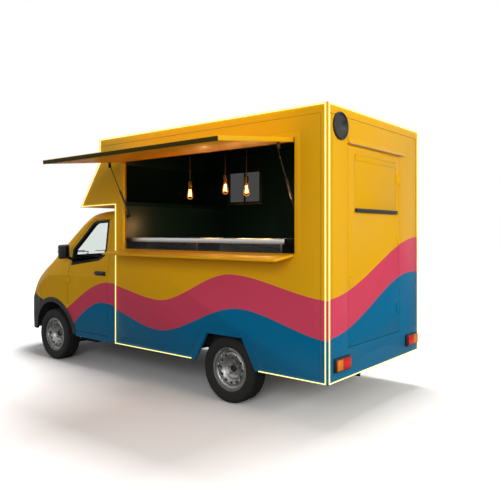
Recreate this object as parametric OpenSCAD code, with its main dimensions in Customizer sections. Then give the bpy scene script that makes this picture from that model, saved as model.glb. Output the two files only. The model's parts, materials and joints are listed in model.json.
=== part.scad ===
// Food truck: a panel-van cab with a hollow kitchen box behind it.
// Millimetres. +X forward, +Y left, +Z up. The origin is on the ground,
// on the centreline, midway between the axles.

/* [Chassis] */
// Distance between the axles
wheelbase = 3100; // [2900:10:3500]
// Distance between the centre planes of the two wheels of an axle
track = 1615; // [1580:5:1640]
// Outer radius of the tyre
tyre_r = 336; // [316:1:340]
// Width of the tyre
tyre_w = 205; // [185:5:215]
// Radius of the rim's flange
rim_r = 220; // [205:1:225]
// Height of the rails' top above the ground
rail_top = 510; // [490:5:530]
// Height of a chassis rail
rail_h = 120; // [90:5:130]
// Width of a chassis rail
rail_w = 60; // [50:5:80]
// Distance from the centreline to a rail's middle
rail_y = 390; // [370:5:410]

/* [Kitchen box] */
// Outer width of the box
box_w = 1960; // [1930:5:2100]
// Length of the box without the overcab part
box_len = 2900; // [2900:10:3300]
// Distance from the rear axle to the box's rear face
rear_overhang = 1190; // [1100:10:1300]
// Height of the roof's outer face above the ground
box_top = 2838; // [2780:2:3000]
// Height of the skirts' lower edge above the ground
skirt_z = 395; // [370:5:410]
// Thickness of the sandwich panels
wall_t = 40; // [30:1:50]
// Thickness of the load floor
floor_t = 50; // [40:1:60]
// How far the overcab tip reaches in front of the box
luton_reach = 680; // [600:5:720]
// How far the overcab roof reaches in front of the box
luton_roof = 295; // [250:5:350]

/* [Serving hatch] */
// Distance from the box's front face to the hatch opening
hatch_inset = 165; // [150:5:250]
// Length of the hatch opening
hatch_len = 2395; // [2100:5:2420]
// Height of the hatch opening's lower edge above the ground
hatch_z = 1520; // [1480:5:1540]
// Height of the hatch opening
hatch_h = 1045; // [950:5:1060]
// Thickness of the hatch panel
hatch_t = 38; // [28:1:45]
// Droop of the open hatch below level, in degrees
hatch_droop = 6.3; // [3:0.1:10]
// Reach of the serving shelf
shelf_reach = 300; // [250:5:350]
// Thickness of the serving shelf
shelf_t = 22; // [16:1:28]
// Droop of the shelf below level, in degrees
shelf_droop = 7; // [3:0.5:9]

/* [Rear] */
// Width of the rear door's opening
rdoor_w = 1100; // [900:5:1150]
// Distance of the rear door's middle from the centreline
rdoor_y = 78; // [0:1:100]
// Height of the rear door's lower edge above the ground
rdoor_z = 665; // [640:5:700]
// Height of the rear door's opening
rdoor_h = 1845; // [1700:5:1850]
// Width of the flap in the rear door
flap_w = 890; // [700:5:900]
// Height of the flap in the rear door
flap_h = 530; // [400:5:540]
// Height of the flap's lower edge above the ground
flap_z = 1900; // [1850:5:1960]

/* [Cab] */
// Thickness of the body shell's hollow panels
shell_t = 36; // [30:1:40]
// Thickness of a cab door
door_t = 55; // [45:1:60]
// Thickness of the window glass
glass_t = 6; // [5:1:8]
// Radius of the front wheel arch
arch_r = 440; // [430:1:455]
// Width of the black flare round the front wheel arch
flare_w = 62; // [40:1:70]

/* [Hidden] */
$fn = 48;

// Clearances
gap = 5;            // round doors, hatch and flaps
pin_gap = 0.4;      // between a hinge barrel and the wall that carries it
seat_gap = 0.3;     // between curved faces of different bodies
barrel_r = 6;       // hinge barrels
barrel_y = barrel_r + pin_gap;

// Driving positions
axle_f = wheelbase / 2;
axle_r = -wheelbase / 2;
hub_z = tyre_r;
wheel_y = track / 2;
half = box_w / 2;
inner = half - wall_t;
box_rear = axle_r - rear_overhang;
box_front = box_rear + box_len;
floor_z = rail_top + floor_t;
roof_z = box_top - wall_t;
eps = 1;

// ---------- helpers ----------

// A block given by its low and high corners
module block(a, b) {
    translate(a) cube(b - a);
}
// A cylinder along Y, from y0 to y1
module tube_y(r, x, z, y0, y1) {
    translate([x, y0, z]) rotate([-90, 0, 0]) cylinder(r = r, h = y1 - y0);
}
// A cylinder along X, from x0 to x1
module tube_x(r, y, z, x0, x1) {
    translate([x0, y, z]) rotate([0, 90, 0]) cylinder(r = r, h = x1 - x0);
}
// A profile drawn in X and Z, extruded from y0 to y1
module side_plate(y0, y1) {
    translate([0, y1, 0]) rotate([90, 0, 0]) linear_extrude(y1 - y0) children();
}
module both_sides() {
    children();
    mirror([0, 1, 0]) children();
}
// The left side as drawn, or its mirror image for the right side
module on_side(side) {
    if (side > 0) children();
    else mirror([0, 1, 0]) children();
}

// ---------- running gear ----------

cross_x = [box_rear + 80, axle_r - 420, axle_r + 420, -260, 620, axle_f - 520];
rail_front = axle_f - 490;
tow_r = 16;

// The two rails of the ladder frame
module chassis_frame() color("dimgray") both_sides()
    block([box_rear + 45, rail_y - rail_w / 2, rail_top - rail_h],
        [rail_front, rail_y + rail_w / 2, rail_top]);

// Crossmembers between the rails, and outriggers under the kitchen floor
module crossmembers() color("dimgray") {
    z0 = rail_top - rail_h;
    in_y = rail_y - rail_w / 2 - seat_gap;
    out_y = rail_y + rail_w / 2 + seat_gap;
    for (x = cross_x) block([x - 30, -in_y, z0 + 20], [x + 30, in_y, rail_top - 20]);
    for (x = [box_rear + 80, axle_r + 560, -260]) both_sides()
        block([x - 25, out_y, rail_top - 60], [x + 25, inner - 20, rail_top]);
}

// Plate with a shackle hole, welded under the last crossmember
module towing_eye() color("dimgray") difference() {
    z0 = rail_top - rail_h;
    block([box_rear + 50, 290, z0 - 52], [box_rear + 130, 310, z0 + 20 - seat_gap]);
    tube_y(tow_r, box_rear + 90, z0 - 21, 280, 320);
}

king_y = wheel_y - 62;     // steering axis, inside the wheel
arm_z = 132;               // height of a steering ball above or below the hub
ball_r = 17;
subframe_y = 300;          // outer face of the front subframe's rails
subframe_low = 150;        // underside of its crossmember
subframe_nose = 2330;
face_y = wheel_y + 2;      // plane where the wheel bolts to its hub

module engine_block() color("gray")
    block([axle_f - 110, -subframe_y + rail_w + seat_gap, subframe_low + 110],
        [axle_f + 430, subframe_y - rail_w - seat_gap, 930]);

// Rails and crossmember that carry the engine, two arms a side and the steering rack
module front_subframe() color("dimgray") {
    block([axle_f - 130, -subframe_y, subframe_low], [axle_f + 130, subframe_y, subframe_low + 100]);
    both_sides() {
        block([rail_front, subframe_y - rail_w, rail_top - rail_h], [subframe_nose, subframe_y, rail_top]);
        for (x = [axle_f - 130, axle_f + 70])
            block([x, subframe_y - 30, subframe_low], [x + 60, subframe_y, rail_top - 20]);
        for (z = [hub_z - arm_z, hub_z + arm_z]) {
            hull() {
                block([axle_f - 110, subframe_y - 10, z - 14], [axle_f + 110, subframe_y + 20, z + 14]);
                translate([axle_f, king_y - 54, z]) cylinder(r = 20, h = 28, center = true);
            }
            translate([axle_f, king_y, z]) sphere(r = ball_r);
            tube_y(11, axle_f, z, king_y - 60, king_y);
        }
        block([axle_f - 195, subframe_y - 25, hub_z - 12], [axle_f - 100, subframe_y, hub_z + 12]);
    }
    tube_y(18, axle_f - 190, hub_z, -430, 430);
    // Radiator beam on two legs, with the stops that the bonnet rests on
    block([beam_x, -560, bumper_top + 12], [beam_x + 30, 560, bumper_top + 62]);
    both_sides() {
        block([beam_x, subframe_y - rail_w, rail_top - eps], [beam_x + 30, subframe_y, bumper_top + 20]);
        translate([beam_x + 15, stop_y, bumper_top + 20])
            cylinder(r = stop_r, h = bonnet_under(beam_x + 15 + stop_r, stop_y + stop_r)
                - seat_gap - bumper_top - 20);
    }
}
beam_x = 2240;
stop_y = 200;
stop_r = 8;
// Size in one column of the sections at depth t under the skin, at a place along X
function inner_at(x, col, t) = lookup(x,
    [for (i = [0 : len(cab_sections) - 1]) [station(i, t) + slice_t, cab_sections[i][col]]]);
function bonnet_under(x, y) = inner_at(x, 8, bonnet_t) - bonnet_t
    + crown * (1 - y / inner_at(x, 7, bonnet_t));

module knuckle(side) {
    on_side(side) color("slategray") difference() {
        union() {
            // Upright between the two steering balls
            translate([axle_f, king_y, hub_z - arm_z - 24]) cylinder(r = 27, h = 2 * arm_z + 48);
            // Stub axle, brake disc and hub
            tube_y(30, axle_f, hub_z, king_y, face_y);
            tube_y(112, axle_f, hub_z, king_y - 16, king_y - 4);
            tube_y(62, axle_f, hub_z, face_y - 24, face_y - seat_gap);
        }
        for (z = [hub_z - arm_z, hub_z + arm_z]) {
            translate([axle_f, king_y, z]) sphere(r = ball_r + seat_gap);
            // Slot that lets the arm swing with the steering
            translate([axle_f, king_y, z - 18])
                rotate([0, 0, 180]) linear_extrude(36) polygon([[-15, 0], [15, 0],
                    [75, 60], [-75, 60]]);
        }
    }
}

spring_len = 1000;
module rear_axle() color("dimgray") {
    tube_y(42, axle_r, hub_z, -(wheel_y - 150), wheel_y - 150);
    both_sides() {
        tube_y(125, axle_r, hub_z, wheel_y - 150, wheel_y - 138);
        tube_y(30, axle_r, hub_z, wheel_y - 140, face_y);
        tube_y(62, axle_r, hub_z, face_y - 24, face_y - seat_gap);
        // Leaf spring: three flat leaves that get shorter, hung under the rail
        for (i = [0 : 2])
            block([axle_r - spring_len / 2 + 140 * i, rail_y + 35, hub_z + 42 + 12 * (2 - i)],
                [axle_r + spring_len / 2 - 140 * i, rail_y + 95, hub_z + 54 + 12 * (2 - i)]);
        block([axle_r - 60, rail_y + 35, hub_z], [axle_r + 60, rail_y + 95, hub_z + 42]);
        for (x = [axle_r - spring_len / 2, axle_r + spring_len / 2 - 40])
            block([x, rail_y + 30, hub_z + 66], [x + 40, rail_y + 95, rail_top - 20]);
    }
}

// Half profiles of a wheel: radius across, distance from the centre plane up
module tyre_profile() {
    w = tyre_w / 2;
    bead = rim_r + seat_gap;
    translate([rim_r - 6.2, -73]) square([40, 146]);
    translate([rim_r + 20, -w]) square([tyre_r - rim_r - 62, 2 * w]);
    translate([tyre_r - 60, -w + 30]) square([60, 2 * w - 60]);
    for (s = [-1, 1]) {
        translate([tyre_r - 42, s * (w - 42)]) circle(r = 42);
        translate([bead + 34, s * (w - 34)]) circle(r = 34);
    }
}
module tyre(x, side) color([0.07, 0.07, 0.07])
    translate([x, side * wheel_y, hub_z]) rotate([90, 0, 0])
        rotate_extrude($fn = 96) tyre_profile();

vent_count = 12;
// Pressed steel wheel: barrel, dished disc with round vents, and hub hole
module rim(x, side) color("silver")
    translate([x, side * wheel_y, hub_z]) rotate([side < 0 ? 90 : -90, 0, 0])
        difference() {
            union() {
                rotate_extrude($fn = 96) union() {
                    for (s = [-1, 1]) {
                        translate([rim_r - 7, s * 78 - 4]) square([7, 8]);
                        translate([rim_r - 26, s * 62 - 18]) square([19.5, 36]);
                    }
                    translate([rim_r - 40, -62]) square([17, 124]);
                }
                rotate_extrude($fn = 96) polygon([[36, 12], [92, 12], [106, 30], [132, 50],
                    [150, 52], [168, 44], [181, 24], [181, 14], [164, 34], [150, 42],
                    [136, 40], [114, 20], [98, 2], [36, 2]]);
            }
            for (i = [0 : vent_count - 1]) rotate([0, 0, i * 360 / vent_count])
                translate([141, 0, 0]) cylinder(r = 13, h = 80, $fn = 24);
        }

// ---------- cab shell ----------

// Key sections of the cab from the bulkhead to the nose. Columns: x, z of the sill,
// half width at the sill, z of the belt, half width at the belt, z of the eave,
// half width at the eave, half width of the flat top, z of the top.
key_sections = [
    [ 172, 370, 902, 1150, 930, 1850, 806, 640, 1968],
    [ 500, 370, 902, 1150, 930, 1858, 806, 640, 1984],
    [ 820, 370, 902, 1150, 930, 1838, 808, 640, 1960],
    [ 990, 370, 902, 1150, 930, 1760, 818, 650, 1884],
    [1290, 370, 902, 1150, 930, 1500, 866, 690, 1640],
    [1640, 370, 902, 1120, 928, 1190, 912, 700, 1372],
    [1860, 366, 892, 1010, 908, 1050, 893, 570, 1300],
    [2040, 360, 864, 880, 880, 930, 862, 480, 1214],
    [2200, 352, 806, 800, 814, 850, 790, 430, 1108],
    [2320, 350, 735, 740, 742, 790, 716, 390, 1002],
    [2420, 352, 646, 690, 652, 745, 626, 350, 890],
    [2480, 376, 530, 640, 540, 700, 514, 300, 780]];
section_steps = 3;   // slices between two key sections
crown = 14;          // rise of the roof and bonnet at the centreline
arc_steps = 7;       // points of the rounded eave
slice_t = 2;         // thickness of one slice
nose_from = 1640;    // where the shell starts to be set back from the nose

// Smooth curve from b to c that knows its neighbours a and d
function curve(a, b, c, d, t) = b + (c - a) / 2 * t + (a - 2.5 * b + 2 * c - d / 2) * t * t
    + (1.5 * (b - c) + (d - a) / 2) * t * t * t;
function key(i) = key_sections[max(0, min(len(key_sections) - 1, i))];
cab_sections = concat([for (i = [0 : len(key_sections) - 2]) for (k = [0 : section_steps - 1])
    [for (c = [0 : 8]) curve(key(i - 1)[c], key(i)[c], key(i + 1)[c], key(i + 2)[c], k / section_steps)]],
    [key(len(key_sections) - 1)]);

// Right half of a section, drawn from the sill to the centreline
function half_section(s, t) = concat(
    [[s[2] - t, s[1] - (t > 0 ? 60 : 0)], [s[4] - t, s[3] - 0.6 * (s[3] - s[1])],
     [s[4] - t, s[3]], [s[6] - t, s[5]]],
    [for (i = [1 : arc_steps - 1]) let (a = 90 * i / arc_steps)
        [s[7] + (s[6] - t - s[7]) * cos(a), s[5] + (s[8] - t - s[5]) * sin(a)]],
    [[s[7], s[8] - t], [0, s[8] - t + crown]]);
function mirrored(pts) = [for (i = [len(pts) - 2 : -1 : 0]) [-pts[i][0], pts[i][1]]];
function section(s, t) = let (h = half_section(s, t)) concat(h, mirrored(h));

// Slice of the cab at one station. Inner slices are set back by the wall at both ends.
function station(i, t) = cab_sections[i][0] + (i == 0 ? t
    : -t * max(0, (cab_sections[i][0] - nose_from) / (key(len(key_sections))[0] - nose_from)));
module cab_slice(i, t)
    translate([station(i, t), 0, 0]) rotate([90, 0, 90])
        linear_extrude(slice_t) polygon(section(cab_sections[i], t));
module cab_solid(t)
    for (i = [0 : len(cab_sections) - 2]) hull() {
        cab_slice(i, t);
        cab_slice(i + 1, t);
    }
// The shell between two depths below the outer skin
module cab_shell(t0, t1) difference() {
    cab_solid(t0);
    cab_solid(t1);
}

// ---------- regions that part the shell into panels ----------

cab_rear = cab_sections[0][0];
floor_w = 845;       // half width of the cab's floor
door_rear = 365;
door_front = 1186;
door_pin = [1196, 930 + barrel_y];   // hinge axis in X and Y
door_pin_z = [715, 1065];
sill_top = 445;
arch_edge_r = arch_r + flare_w;

// Door outline in X and Z, grown by g
module door_outline(g) difference() {
    polygon([[door_rear - g, sill_top - g], [door_front + g, sill_top - g],
        [door_front + g, 1440], [door_front + g * 1.1, 1505 + g * 0.6], [842 + g * 1.1, 1838 + g],
        [790, 1866 + g], [440, 1872 + g], [door_rear + 30 - g, 1700], [door_rear - g, 1200]]);
    translate([axle_f, hub_z]) circle(r = arch_edge_r + 30 - g);
}
// Glass outline in X and Z, grown by g
module glass_outline(g)
    polygon([[480 - g, 1500], [500 - g, 1440 - g], [590, 1392 - g], [1120 + g, 1318 - g],
        [1128 + g, 1478 + g], [796 + g, 1796 + g], [740, 1824 + g], [505 - g, 1834 + g]]);

module door_region(side, g) side_plate(side > 0 ? 560 : -990, side > 0 ? 990 : -560)
    door_outline(g);

// Windscreen: between the roof's front edge and the cowl
screen_top_x = 985;
screen_base_x = 1612;
module screen_region(g) {
    w0 = 640;
    w1 = 770;
    z0 = 1200;
    linear_extrude(2200) polygon([[screen_top_x - g, -w0 - g], [screen_top_x - g, w0 + g],
        [screen_base_x + g, w1 + g], [screen_base_x + g, -w1 - g]]);
}

bonnet_x = 1650;
bonnet_half = 620;
bonnet_t = 26;
module bonnet_region(g) side_plate(-bonnet_half - g, bonnet_half + g)
    polygon([[bonnet_x - g, 1100 - g], [2100, 1000 - g], [2600, 900 - g],
        [2600, 1500], [bonnet_x - g, 1600]]);

bumper_top = 885;
module bumper_region(g) side_plate(-1000, 1000)
    polygon([[axle_f + 200, 300], [2600, 300], [2600, bumper_top + g], [2200, bumper_top + g],
        [axle_f + 200, 770 + g]]);

module lamp_region(side, g) on_side(side)
    side_plate(bonnet_half + gap - g, 1000) polygon([[2030 - g, 960 + g], [2100 - g, bumper_top + 8 - g],
        [2600, bumper_top + 8 - g], [2600, 960 + g], [2330, 1010 + g], [2130, 1010 + g]]);

module arch_cut(r) both_sides() tube_y(r, axle_f, hub_z, 480, 1000);

// Body shell: roof, pillars, bulkhead, front wings and cowl
module cab_body() color("gold") difference() {
    cab_shell(0, shell_t);
    block([cab_rear - eps, -floor_w, 300], [cab_rear + shell_t + eps, floor_w, rail_top]);
    door_region(1, gap);
    door_region(-1, gap);
    screen_region(0);
    bonnet_region(gap);
    bumper_region(gap);
    lamp_region(1, 1);
    lamp_region(-1, 1);
    arch_cut(arch_edge_r + seat_gap, $fn = 96);
}

module bonnet() color("gold") intersection() {
    cab_shell(0, bonnet_t);
    bonnet_region(0);
}

// Black bumper that wraps the nose, and the flares of both front arches
module front_bumper() color([0.05, 0.05, 0.05]) {
    difference() {
        intersection() {
            cab_shell(0, 40);
            bumper_region(0);
        }
        arch_cut(arch_edge_r + seat_gap, $fn = 96);
    }
    intersection() {
        cab_shell(-6, 30);
        both_sides() side_plate(600, 1000) difference() {
            intersection() {
                translate([axle_f, hub_z]) circle(r = arch_edge_r, $fn = 96);
                polygon([[axle_f - 600, 392], [axle_f + 600, 392], [axle_f + 600, 1000],
                    [axle_f - 600, 1000]]);
            }
            translate([axle_f, hub_z]) circle(r = arch_r, $fn = 96);
        }
    }
}

module headlamps() color("lightgray") intersection() {
    cab_shell(0, 30);
    both_sides() lamp_region(1, 0);
}

module windscreen() color([0.5, 0.6, 0.65, 0.4]) intersection() {
    cab_shell(4, 4 + glass_t + 4);
    screen_region(-seat_gap);
}

module door(side) color("gold") {
    difference() {
        intersection() {
            cab_shell(0, door_t);
            door_region(side, 0);
        }
        side_plate(side > 0 ? 560 : -990, side > 0 ? 990 : -560) glass_outline(0);
    }
    on_side(side) for (z = door_pin_z) {
        translate([door_pin[0], door_pin[1], z]) cylinder(r = barrel_r, h = 70);
        block([door_pin[0] - 46, door_pin[1] - barrel_y - eps, z + 5], [door_front, door_pin[1] + 2, z + 65]);
        block([door_front - eps, door_pin[1] - barrel_r, z + 5], [door_pin[0], door_pin[1] + 2, z + 65]);
    }
}
module door_glass(side) color([0.4, 0.5, 0.55, 0.4]) intersection() {
    cab_shell(16, 16 + glass_t);
    side_plate(side > 0 ? 560 : -990, side > 0 ? 990 : -560) glass_outline(-seat_gap);
}

// Door mirror: a rounded head on a short arm from the window's front corner
module door_mirror(side) on_side(side) color([0.05, 0.05, 0.05]) difference() {
    union() {
        hull() {
            for (p = [[1120, 980, 1400], [1120, 985, 1530], [1110, 1092, 1395], [1110, 1096, 1525]])
                translate(p) sphere(r = 26, $fn = 24);
            for (z = [1400, 1515]) translate([1160, 1030, z]) sphere(r = 30, $fn = 24);
        }
        hull() {
            translate([1130, 990, 1395]) sphere(r = 18, $fn = 24);
            translate([1130, 900, 1360]) sphere(r = 20, $fn = 24);
        }
    }
    cab_solid(-seat_gap);
}

// Cab floor, toe board, firewall, sills and inner wheel arches
module cab_floor() color("dimgray") {
    z0 = rail_top;
    w = floor_w;
    side_plate(-w, w) polygon([[cab_rear + 38, z0], [1060, z0], [1060, 830], [1470, 1130],
        [1690, 1130], [1690, 1150], [1462, 1150], [1040, 842], [1040, z0 + 20],
        [cab_rear + 38, z0 + 20]]);
    both_sides() {
        // Sill box under the door
        block([cab_rear + 38, w - 105, 390], [1010, w - 5, z0]);
        // Arch liner: half ring, trimmed to the shell, and its inner wall
        intersection() {
            difference() {
                tube_y(arch_r + 14, axle_f, hub_z, 490, 900, $fn = 96);
                tube_y(arch_r, axle_f, hub_z, 480, 910, $fn = 96);
                block([axle_f - 500, 480, -200], [axle_f + 500, 910, 392]);
            }
            cab_solid(30 + seat_gap);
        }
        difference() {
            tube_y(arch_r + 14, axle_f, hub_z, 476, 490.5, $fn = 96);
            block([axle_f - 500, 470, -200], [axle_f + 500, 495, rail_top]);
        }
    }
}

module dashboard() color([0.08, 0.08, 0.09]) difference() {
    side_plate(-floor_w, floor_w) polygon([[1062, 1000], [1040, 1120], [1075, 1210], [1160, 1260],
        [1400, 1290], [1560, 1290], [1560, 1150], [1440, 1150], [1130, 930]]);
    on_column() cylinder(r = column_r + seat_gap, h = column_len + seat_gap);
}

wheel_hub = [985, -400, 1200];
column_r = 24;
column_len = 110;
// Local frame of the steering column: it runs along Z, away from the driver
module on_column() translate(wheel_hub) rotate([0, 118, 0]) children();
module steering_wheel() color([0.05, 0.05, 0.05]) on_column() {
    rotate_extrude() translate([185, 0]) circle(r = 15, $fn = 24);
    cylinder(r = 55, h = 30, center = true);
    for (a = [90, 195, 345]) rotate([0, 0, a]) translate([40, -14, -8]) cube([138, 28, 14]);
    cylinder(r = column_r, h = column_len);
}

seat_w = 520;
module seat(y) translate([0, y, 0]) {
    block([cab_rear + 180, -seat_w / 2 + 60, rail_top + 20], [880, seat_w / 2 - 60, 770]);
    hull() for (x = [cab_rear + 230, 860], s = [-1, 1])
        translate([x, s * (seat_w / 2 - 50), 768]) cylinder(r = 50, h = 125);
    hull() for (p = [[cab_rear + 230, 860], [cab_rear + 150, 1440]], s = [-1, 1])
        translate([p[0], s * (seat_w / 2 - 60), p[1]]) sphere(r = 58, $fn = 24);
    hull() for (z = [1560, 1660], s = [-1, 1])
        translate([cab_rear + 128, s * 90, z]) sphere(r = 46, $fn = 24);
    translate([cab_rear + 132, 0, 1460]) cylinder(r = 14, h = 90);
}
module cab_seats() color([0.15, 0.15, 0.17]) {
    seat(-400);
    seat(400);
}

// ---------- kitchen box ----------

hatch_x1 = box_front - hatch_inset;
hatch_x0 = hatch_x1 - hatch_len;
hatch_top = hatch_z + hatch_h;
luton_z = 2035;           // underside of the overcab part at the box
luton_tip_z = 2025;       // and at its tip
luton_knee_z = 2550;      // where the slanted front turns upright
tip_x = box_front + luton_reach;
knee_x = box_front + luton_roof;
notch_low = 397;          // half length of the rear arch notch at the skirt
notch_high = 229;         // and at its top
notch_z = 690;

// Outline of a side wall in X and Z, with the rear arch notched out
module wall_outline() difference() {
    polygon([[box_rear, skirt_z], [box_front, skirt_z], [box_front, luton_z],
        [tip_x, luton_tip_z], [knee_x, luton_knee_z], [knee_x, box_top], [box_rear, box_top]]);
    polygon([[axle_r - notch_low - 20, skirt_z - 35], [axle_r - notch_high, notch_z],
        [axle_r + notch_high, notch_z], [axle_r + notch_low + 20, skirt_z - 35]]);
}

module box_left_wall() color("gold") {
    left_panel();
    strut_bracket(strut_x_front, -1);
    strut_bracket(strut_x_rear, 1);
}
module left_panel() difference() {
    side_plate(inner, half) wall_outline();
    block([hatch_x0, inner - eps, hatch_z], [hatch_x1, half + eps, hatch_top]);
}
// Bracket and pin that carry a strut's foot, beside the jamb; s points away from the jamb
module strut_bracket(x, s) {
    block([min(x - 5.5 * s, x - 13.5 * s), strut_foot[0] - 12, strut_foot[1] - 12],
        [max(x - 5.5 * s, x - 13.5 * s), inner, strut_foot[1] + 12]);
    block([min(x - 5.5 * s, x - 45 * s), inner - 6, strut_foot[1] - 18],
        [max(x - 5.5 * s, x - 45 * s), inner, strut_foot[1] + 18]);
    tube_x(strut_pin_r, strut_foot[0], strut_foot[1], min(x - 8 * s, x + 7 * s), max(x - 8 * s, x + 7 * s));
}

window_x0 = -560;
window_x1 = 60;
window_z0 = 2105;
window_z1 = 2575;
module box_right_wall() color("gold") difference() {
    side_plate(-half, -inner) wall_outline();
    block([window_x0, -half - eps, window_z0], [window_x1, -inner + eps, window_z1]);
}

// Bulkhead and the overcab floor and front, one folded panel between the side walls
module box_front_wall() color("gold") side_plate(-inner, inner) {
    t = wall_t;
    polygon([[box_front - t, rail_top], [box_front, rail_top], [box_front, luton_z],
        [tip_x, luton_tip_z], [knee_x, luton_knee_z], [knee_x, box_top], [knee_x - t, box_top],
        [knee_x - t, luton_knee_z - 8], [tip_x - 1.9 * t, luton_tip_z + t],
        [box_front - t, luton_z + t]]);
}

module box_roof() color("gold")
    block([box_rear + wall_t, -inner, roof_z], [knee_x - wall_t, inner, box_top]);

// Load floor, with a box over each rear wheel
arch_box_x = 415;
arch_box_y = wheel_y - tyre_w / 2 - 25;
arch_box_z = tyre_r * 2 + 34;
module box_floor() color("dimgray") {
    x0 = box_rear + wall_t;
    x1 = box_front - wall_t;
    difference() {
        block([x0, -inner, rail_top], [x1, inner, floor_z]);
        both_sides() block([axle_r - arch_box_x, arch_box_y, rail_top - eps],
            [axle_r + arch_box_x, inner + eps, floor_z + eps]);
    }
    both_sides() difference() {
        block([axle_r - arch_box_x - 15, arch_box_y - 15, rail_top], [axle_r + arch_box_x + 15, inner, arch_box_z + 15]);
        block([axle_r - arch_box_x, arch_box_y, rail_top - eps], [axle_r + arch_box_x, inner + eps, arch_box_z]);
    }
}

rdoor_y0 = rdoor_y - rdoor_w / 2;
rdoor_y1 = rdoor_y + rdoor_w / 2;
rdoor_top = rdoor_z + rdoor_h;
plate_z = 560;
plate_holes = 440;
module box_rear_wall() color("gold") {
    difference() {
        block([box_rear, -inner, skirt_z], [box_rear + wall_t, inner, box_top]);
        block([box_rear - eps, rdoor_y0, rdoor_z], [box_rear + wall_t + eps, rdoor_y1, rdoor_top]);
        for (s = [-1, 1]) tube_x(3, s * plate_holes / 2, plate_z, box_rear - eps, box_rear + wall_t + eps);
    }
    // Drip rail over the door
    side_plate(rdoor_y0 - 95, rdoor_y1 + 10) polygon([[box_rear, rdoor_top + 12],
        [box_rear, rdoor_top + 65], [box_rear - 6, rdoor_top + 65],
        [box_rear - 26, rdoor_top + 20], [box_rear - 26, rdoor_top + 12]]);
}

flap_y = rdoor_y - 23;
flap_y0 = flap_y - flap_w / 2;
flap_y1 = flap_y + flap_w / 2;
flap_top = flap_z + flap_h;
// Rear door with hinge barrels on its right edge, and the flap's opening cut
module rear_door() color("gold") {
    difference() {
        block([box_rear, rdoor_y0 + gap, rdoor_z + gap], [box_rear + wall_t, rdoor_y1 - gap, rdoor_top - gap]);
        block([box_rear - eps, flap_y0, flap_z], [box_rear + wall_t + eps, flap_y1, flap_top]);
    }
    for (z = [rdoor_z + 200, (rdoor_z + rdoor_top) / 2, rdoor_top - 300]) {
        translate([box_rear - barrel_y, rdoor_y0, z]) cylinder(r = barrel_r, h = 120);
        block([box_rear - barrel_y - 2, rdoor_y0, z + 10], [box_rear, rdoor_y0 + 70, z + 110]);
    }
}
module rear_flap() color("gold") {
    block([box_rear, flap_y0 + gap, flap_z + gap], [box_rear + wall_t - 8, flap_y1 - gap, flap_top - gap]);
    tube_y(barrel_r, box_rear - barrel_y, flap_top + 3, flap_y0 + 10, flap_y1 - 10);
    block([box_rear - barrel_y - 1, flap_y0 + 10, flap_top - 50], [box_rear, flap_y1 - 10, flap_top + 3]);
}

// ---------- hatch, shelf and gas struts ----------

hatch_axis = [half + barrel_y, hatch_top + 2];     // Y and Z
// Local frame of the hatch: origin on its hinge, Y towards the free edge
module on_hatch() translate([0, hatch_axis[0], hatch_axis[1]]) rotate([-hatch_droop, 0, 0]) children();
hatch_face = -barrel_y + 3;      // outer face of the panel in that frame
strut_inset = 30;                // from the panel's end to a strut's middle
strut_pin = [220, hatch_face - hatch_t - 48.6];

module serving_hatch() color("gold") on_hatch() {
    block([hatch_x0 + gap, gap + 2, hatch_face - hatch_t], [hatch_x1 - gap, hatch_h - gap + 2, hatch_face]);
    tube_x(barrel_r, 0, 0, hatch_x0 + 15, hatch_x1 - 15);
    block([hatch_x0 + 15, 0, hatch_face - 1], [hatch_x1 - 15, 60, 0]);
    // Side plates that the strut eyes stand beside
    for (x = [strut_x_rear - 10.5, strut_x_front + 10.5])
        block([x - 5, strut_pin[0] - 16, strut_pin[1] - 10], [x + 5, strut_pin[0] + 16, hatch_face - hatch_t]);
}

shelf_axis = [half + barrel_y, hatch_z - 24];
module serving_shelf() color("gold")
    translate([0, shelf_axis[0], shelf_axis[1]]) rotate([-shelf_droop, 0, 0]) {
        block([hatch_x0 + gap, gap, 0], [hatch_x1 - gap, shelf_reach, shelf_t]);
        tube_x(barrel_r, 0, 0, hatch_x0 + 15, hatch_x1 - 15);
        block([hatch_x0 + 15, 0, 0], [hatch_x1 - 15, 40, 3]);
    }

// Gas struts: the cylinder turns on the wall, the rod's eye meets the hatch when it is open
strut_foot = [inner - 30, hatch_axis[1] - 667];    // Y and Z of the lower pin
eye_r = 9;
strut_pin_r = 4;
strut_top = [hatch_axis[0] + strut_pin[0] * cos(hatch_droop) + strut_pin[1] * sin(hatch_droop),
    hatch_axis[1] - strut_pin[0] * sin(hatch_droop) + strut_pin[1] * cos(hatch_droop)];
strut_open = norm(strut_top - strut_foot);
strut_angle = atan2(strut_top[1] - strut_foot[1], strut_top[0] - strut_foot[0]);
strut_tube_len = 332;
strut_rod_len = 350;
strut_bore_r = 5;
strut_rod_r = 4.6;
module on_strut(x) translate([x, strut_foot[0], strut_foot[1]]) rotate([strut_angle, 0, 0]) children();
module strut_cylinder(x) color([0.06, 0.06, 0.06]) on_strut(x) {
    difference() {
        translate([0, 34, 0]) rotate([-90, 0, 0]) cylinder(r = 11, h = strut_tube_len - 34);
        translate([0, 50, 0]) rotate([-90, 0, 0]) cylinder(r = strut_bore_r, h = strut_tube_len);
    }
    difference() {
        union() {
            tube_x(eye_r, 0, 0, -5, 5);
            block([-5, 0, -5], [5, 36, 5]);
        }
        tube_x(strut_pin_r + 0.1, 0, 0, -6, 6);
    }
}
module strut_rod(x) color("silver") on_strut(x) {
    translate([0, strut_open - strut_rod_len, 0]) rotate([-90, 0, 0]) cylinder(r = strut_rod_r, h = strut_rod_len - 4);
    translate([0, strut_open, 0]) tube_x(eye_r, 0, 0, -5, 5);
}
strut_x_front = hatch_x1 - gap - strut_inset;
strut_x_rear = hatch_x0 + gap + strut_inset;

// ---------- kitchen fittings ----------

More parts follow.
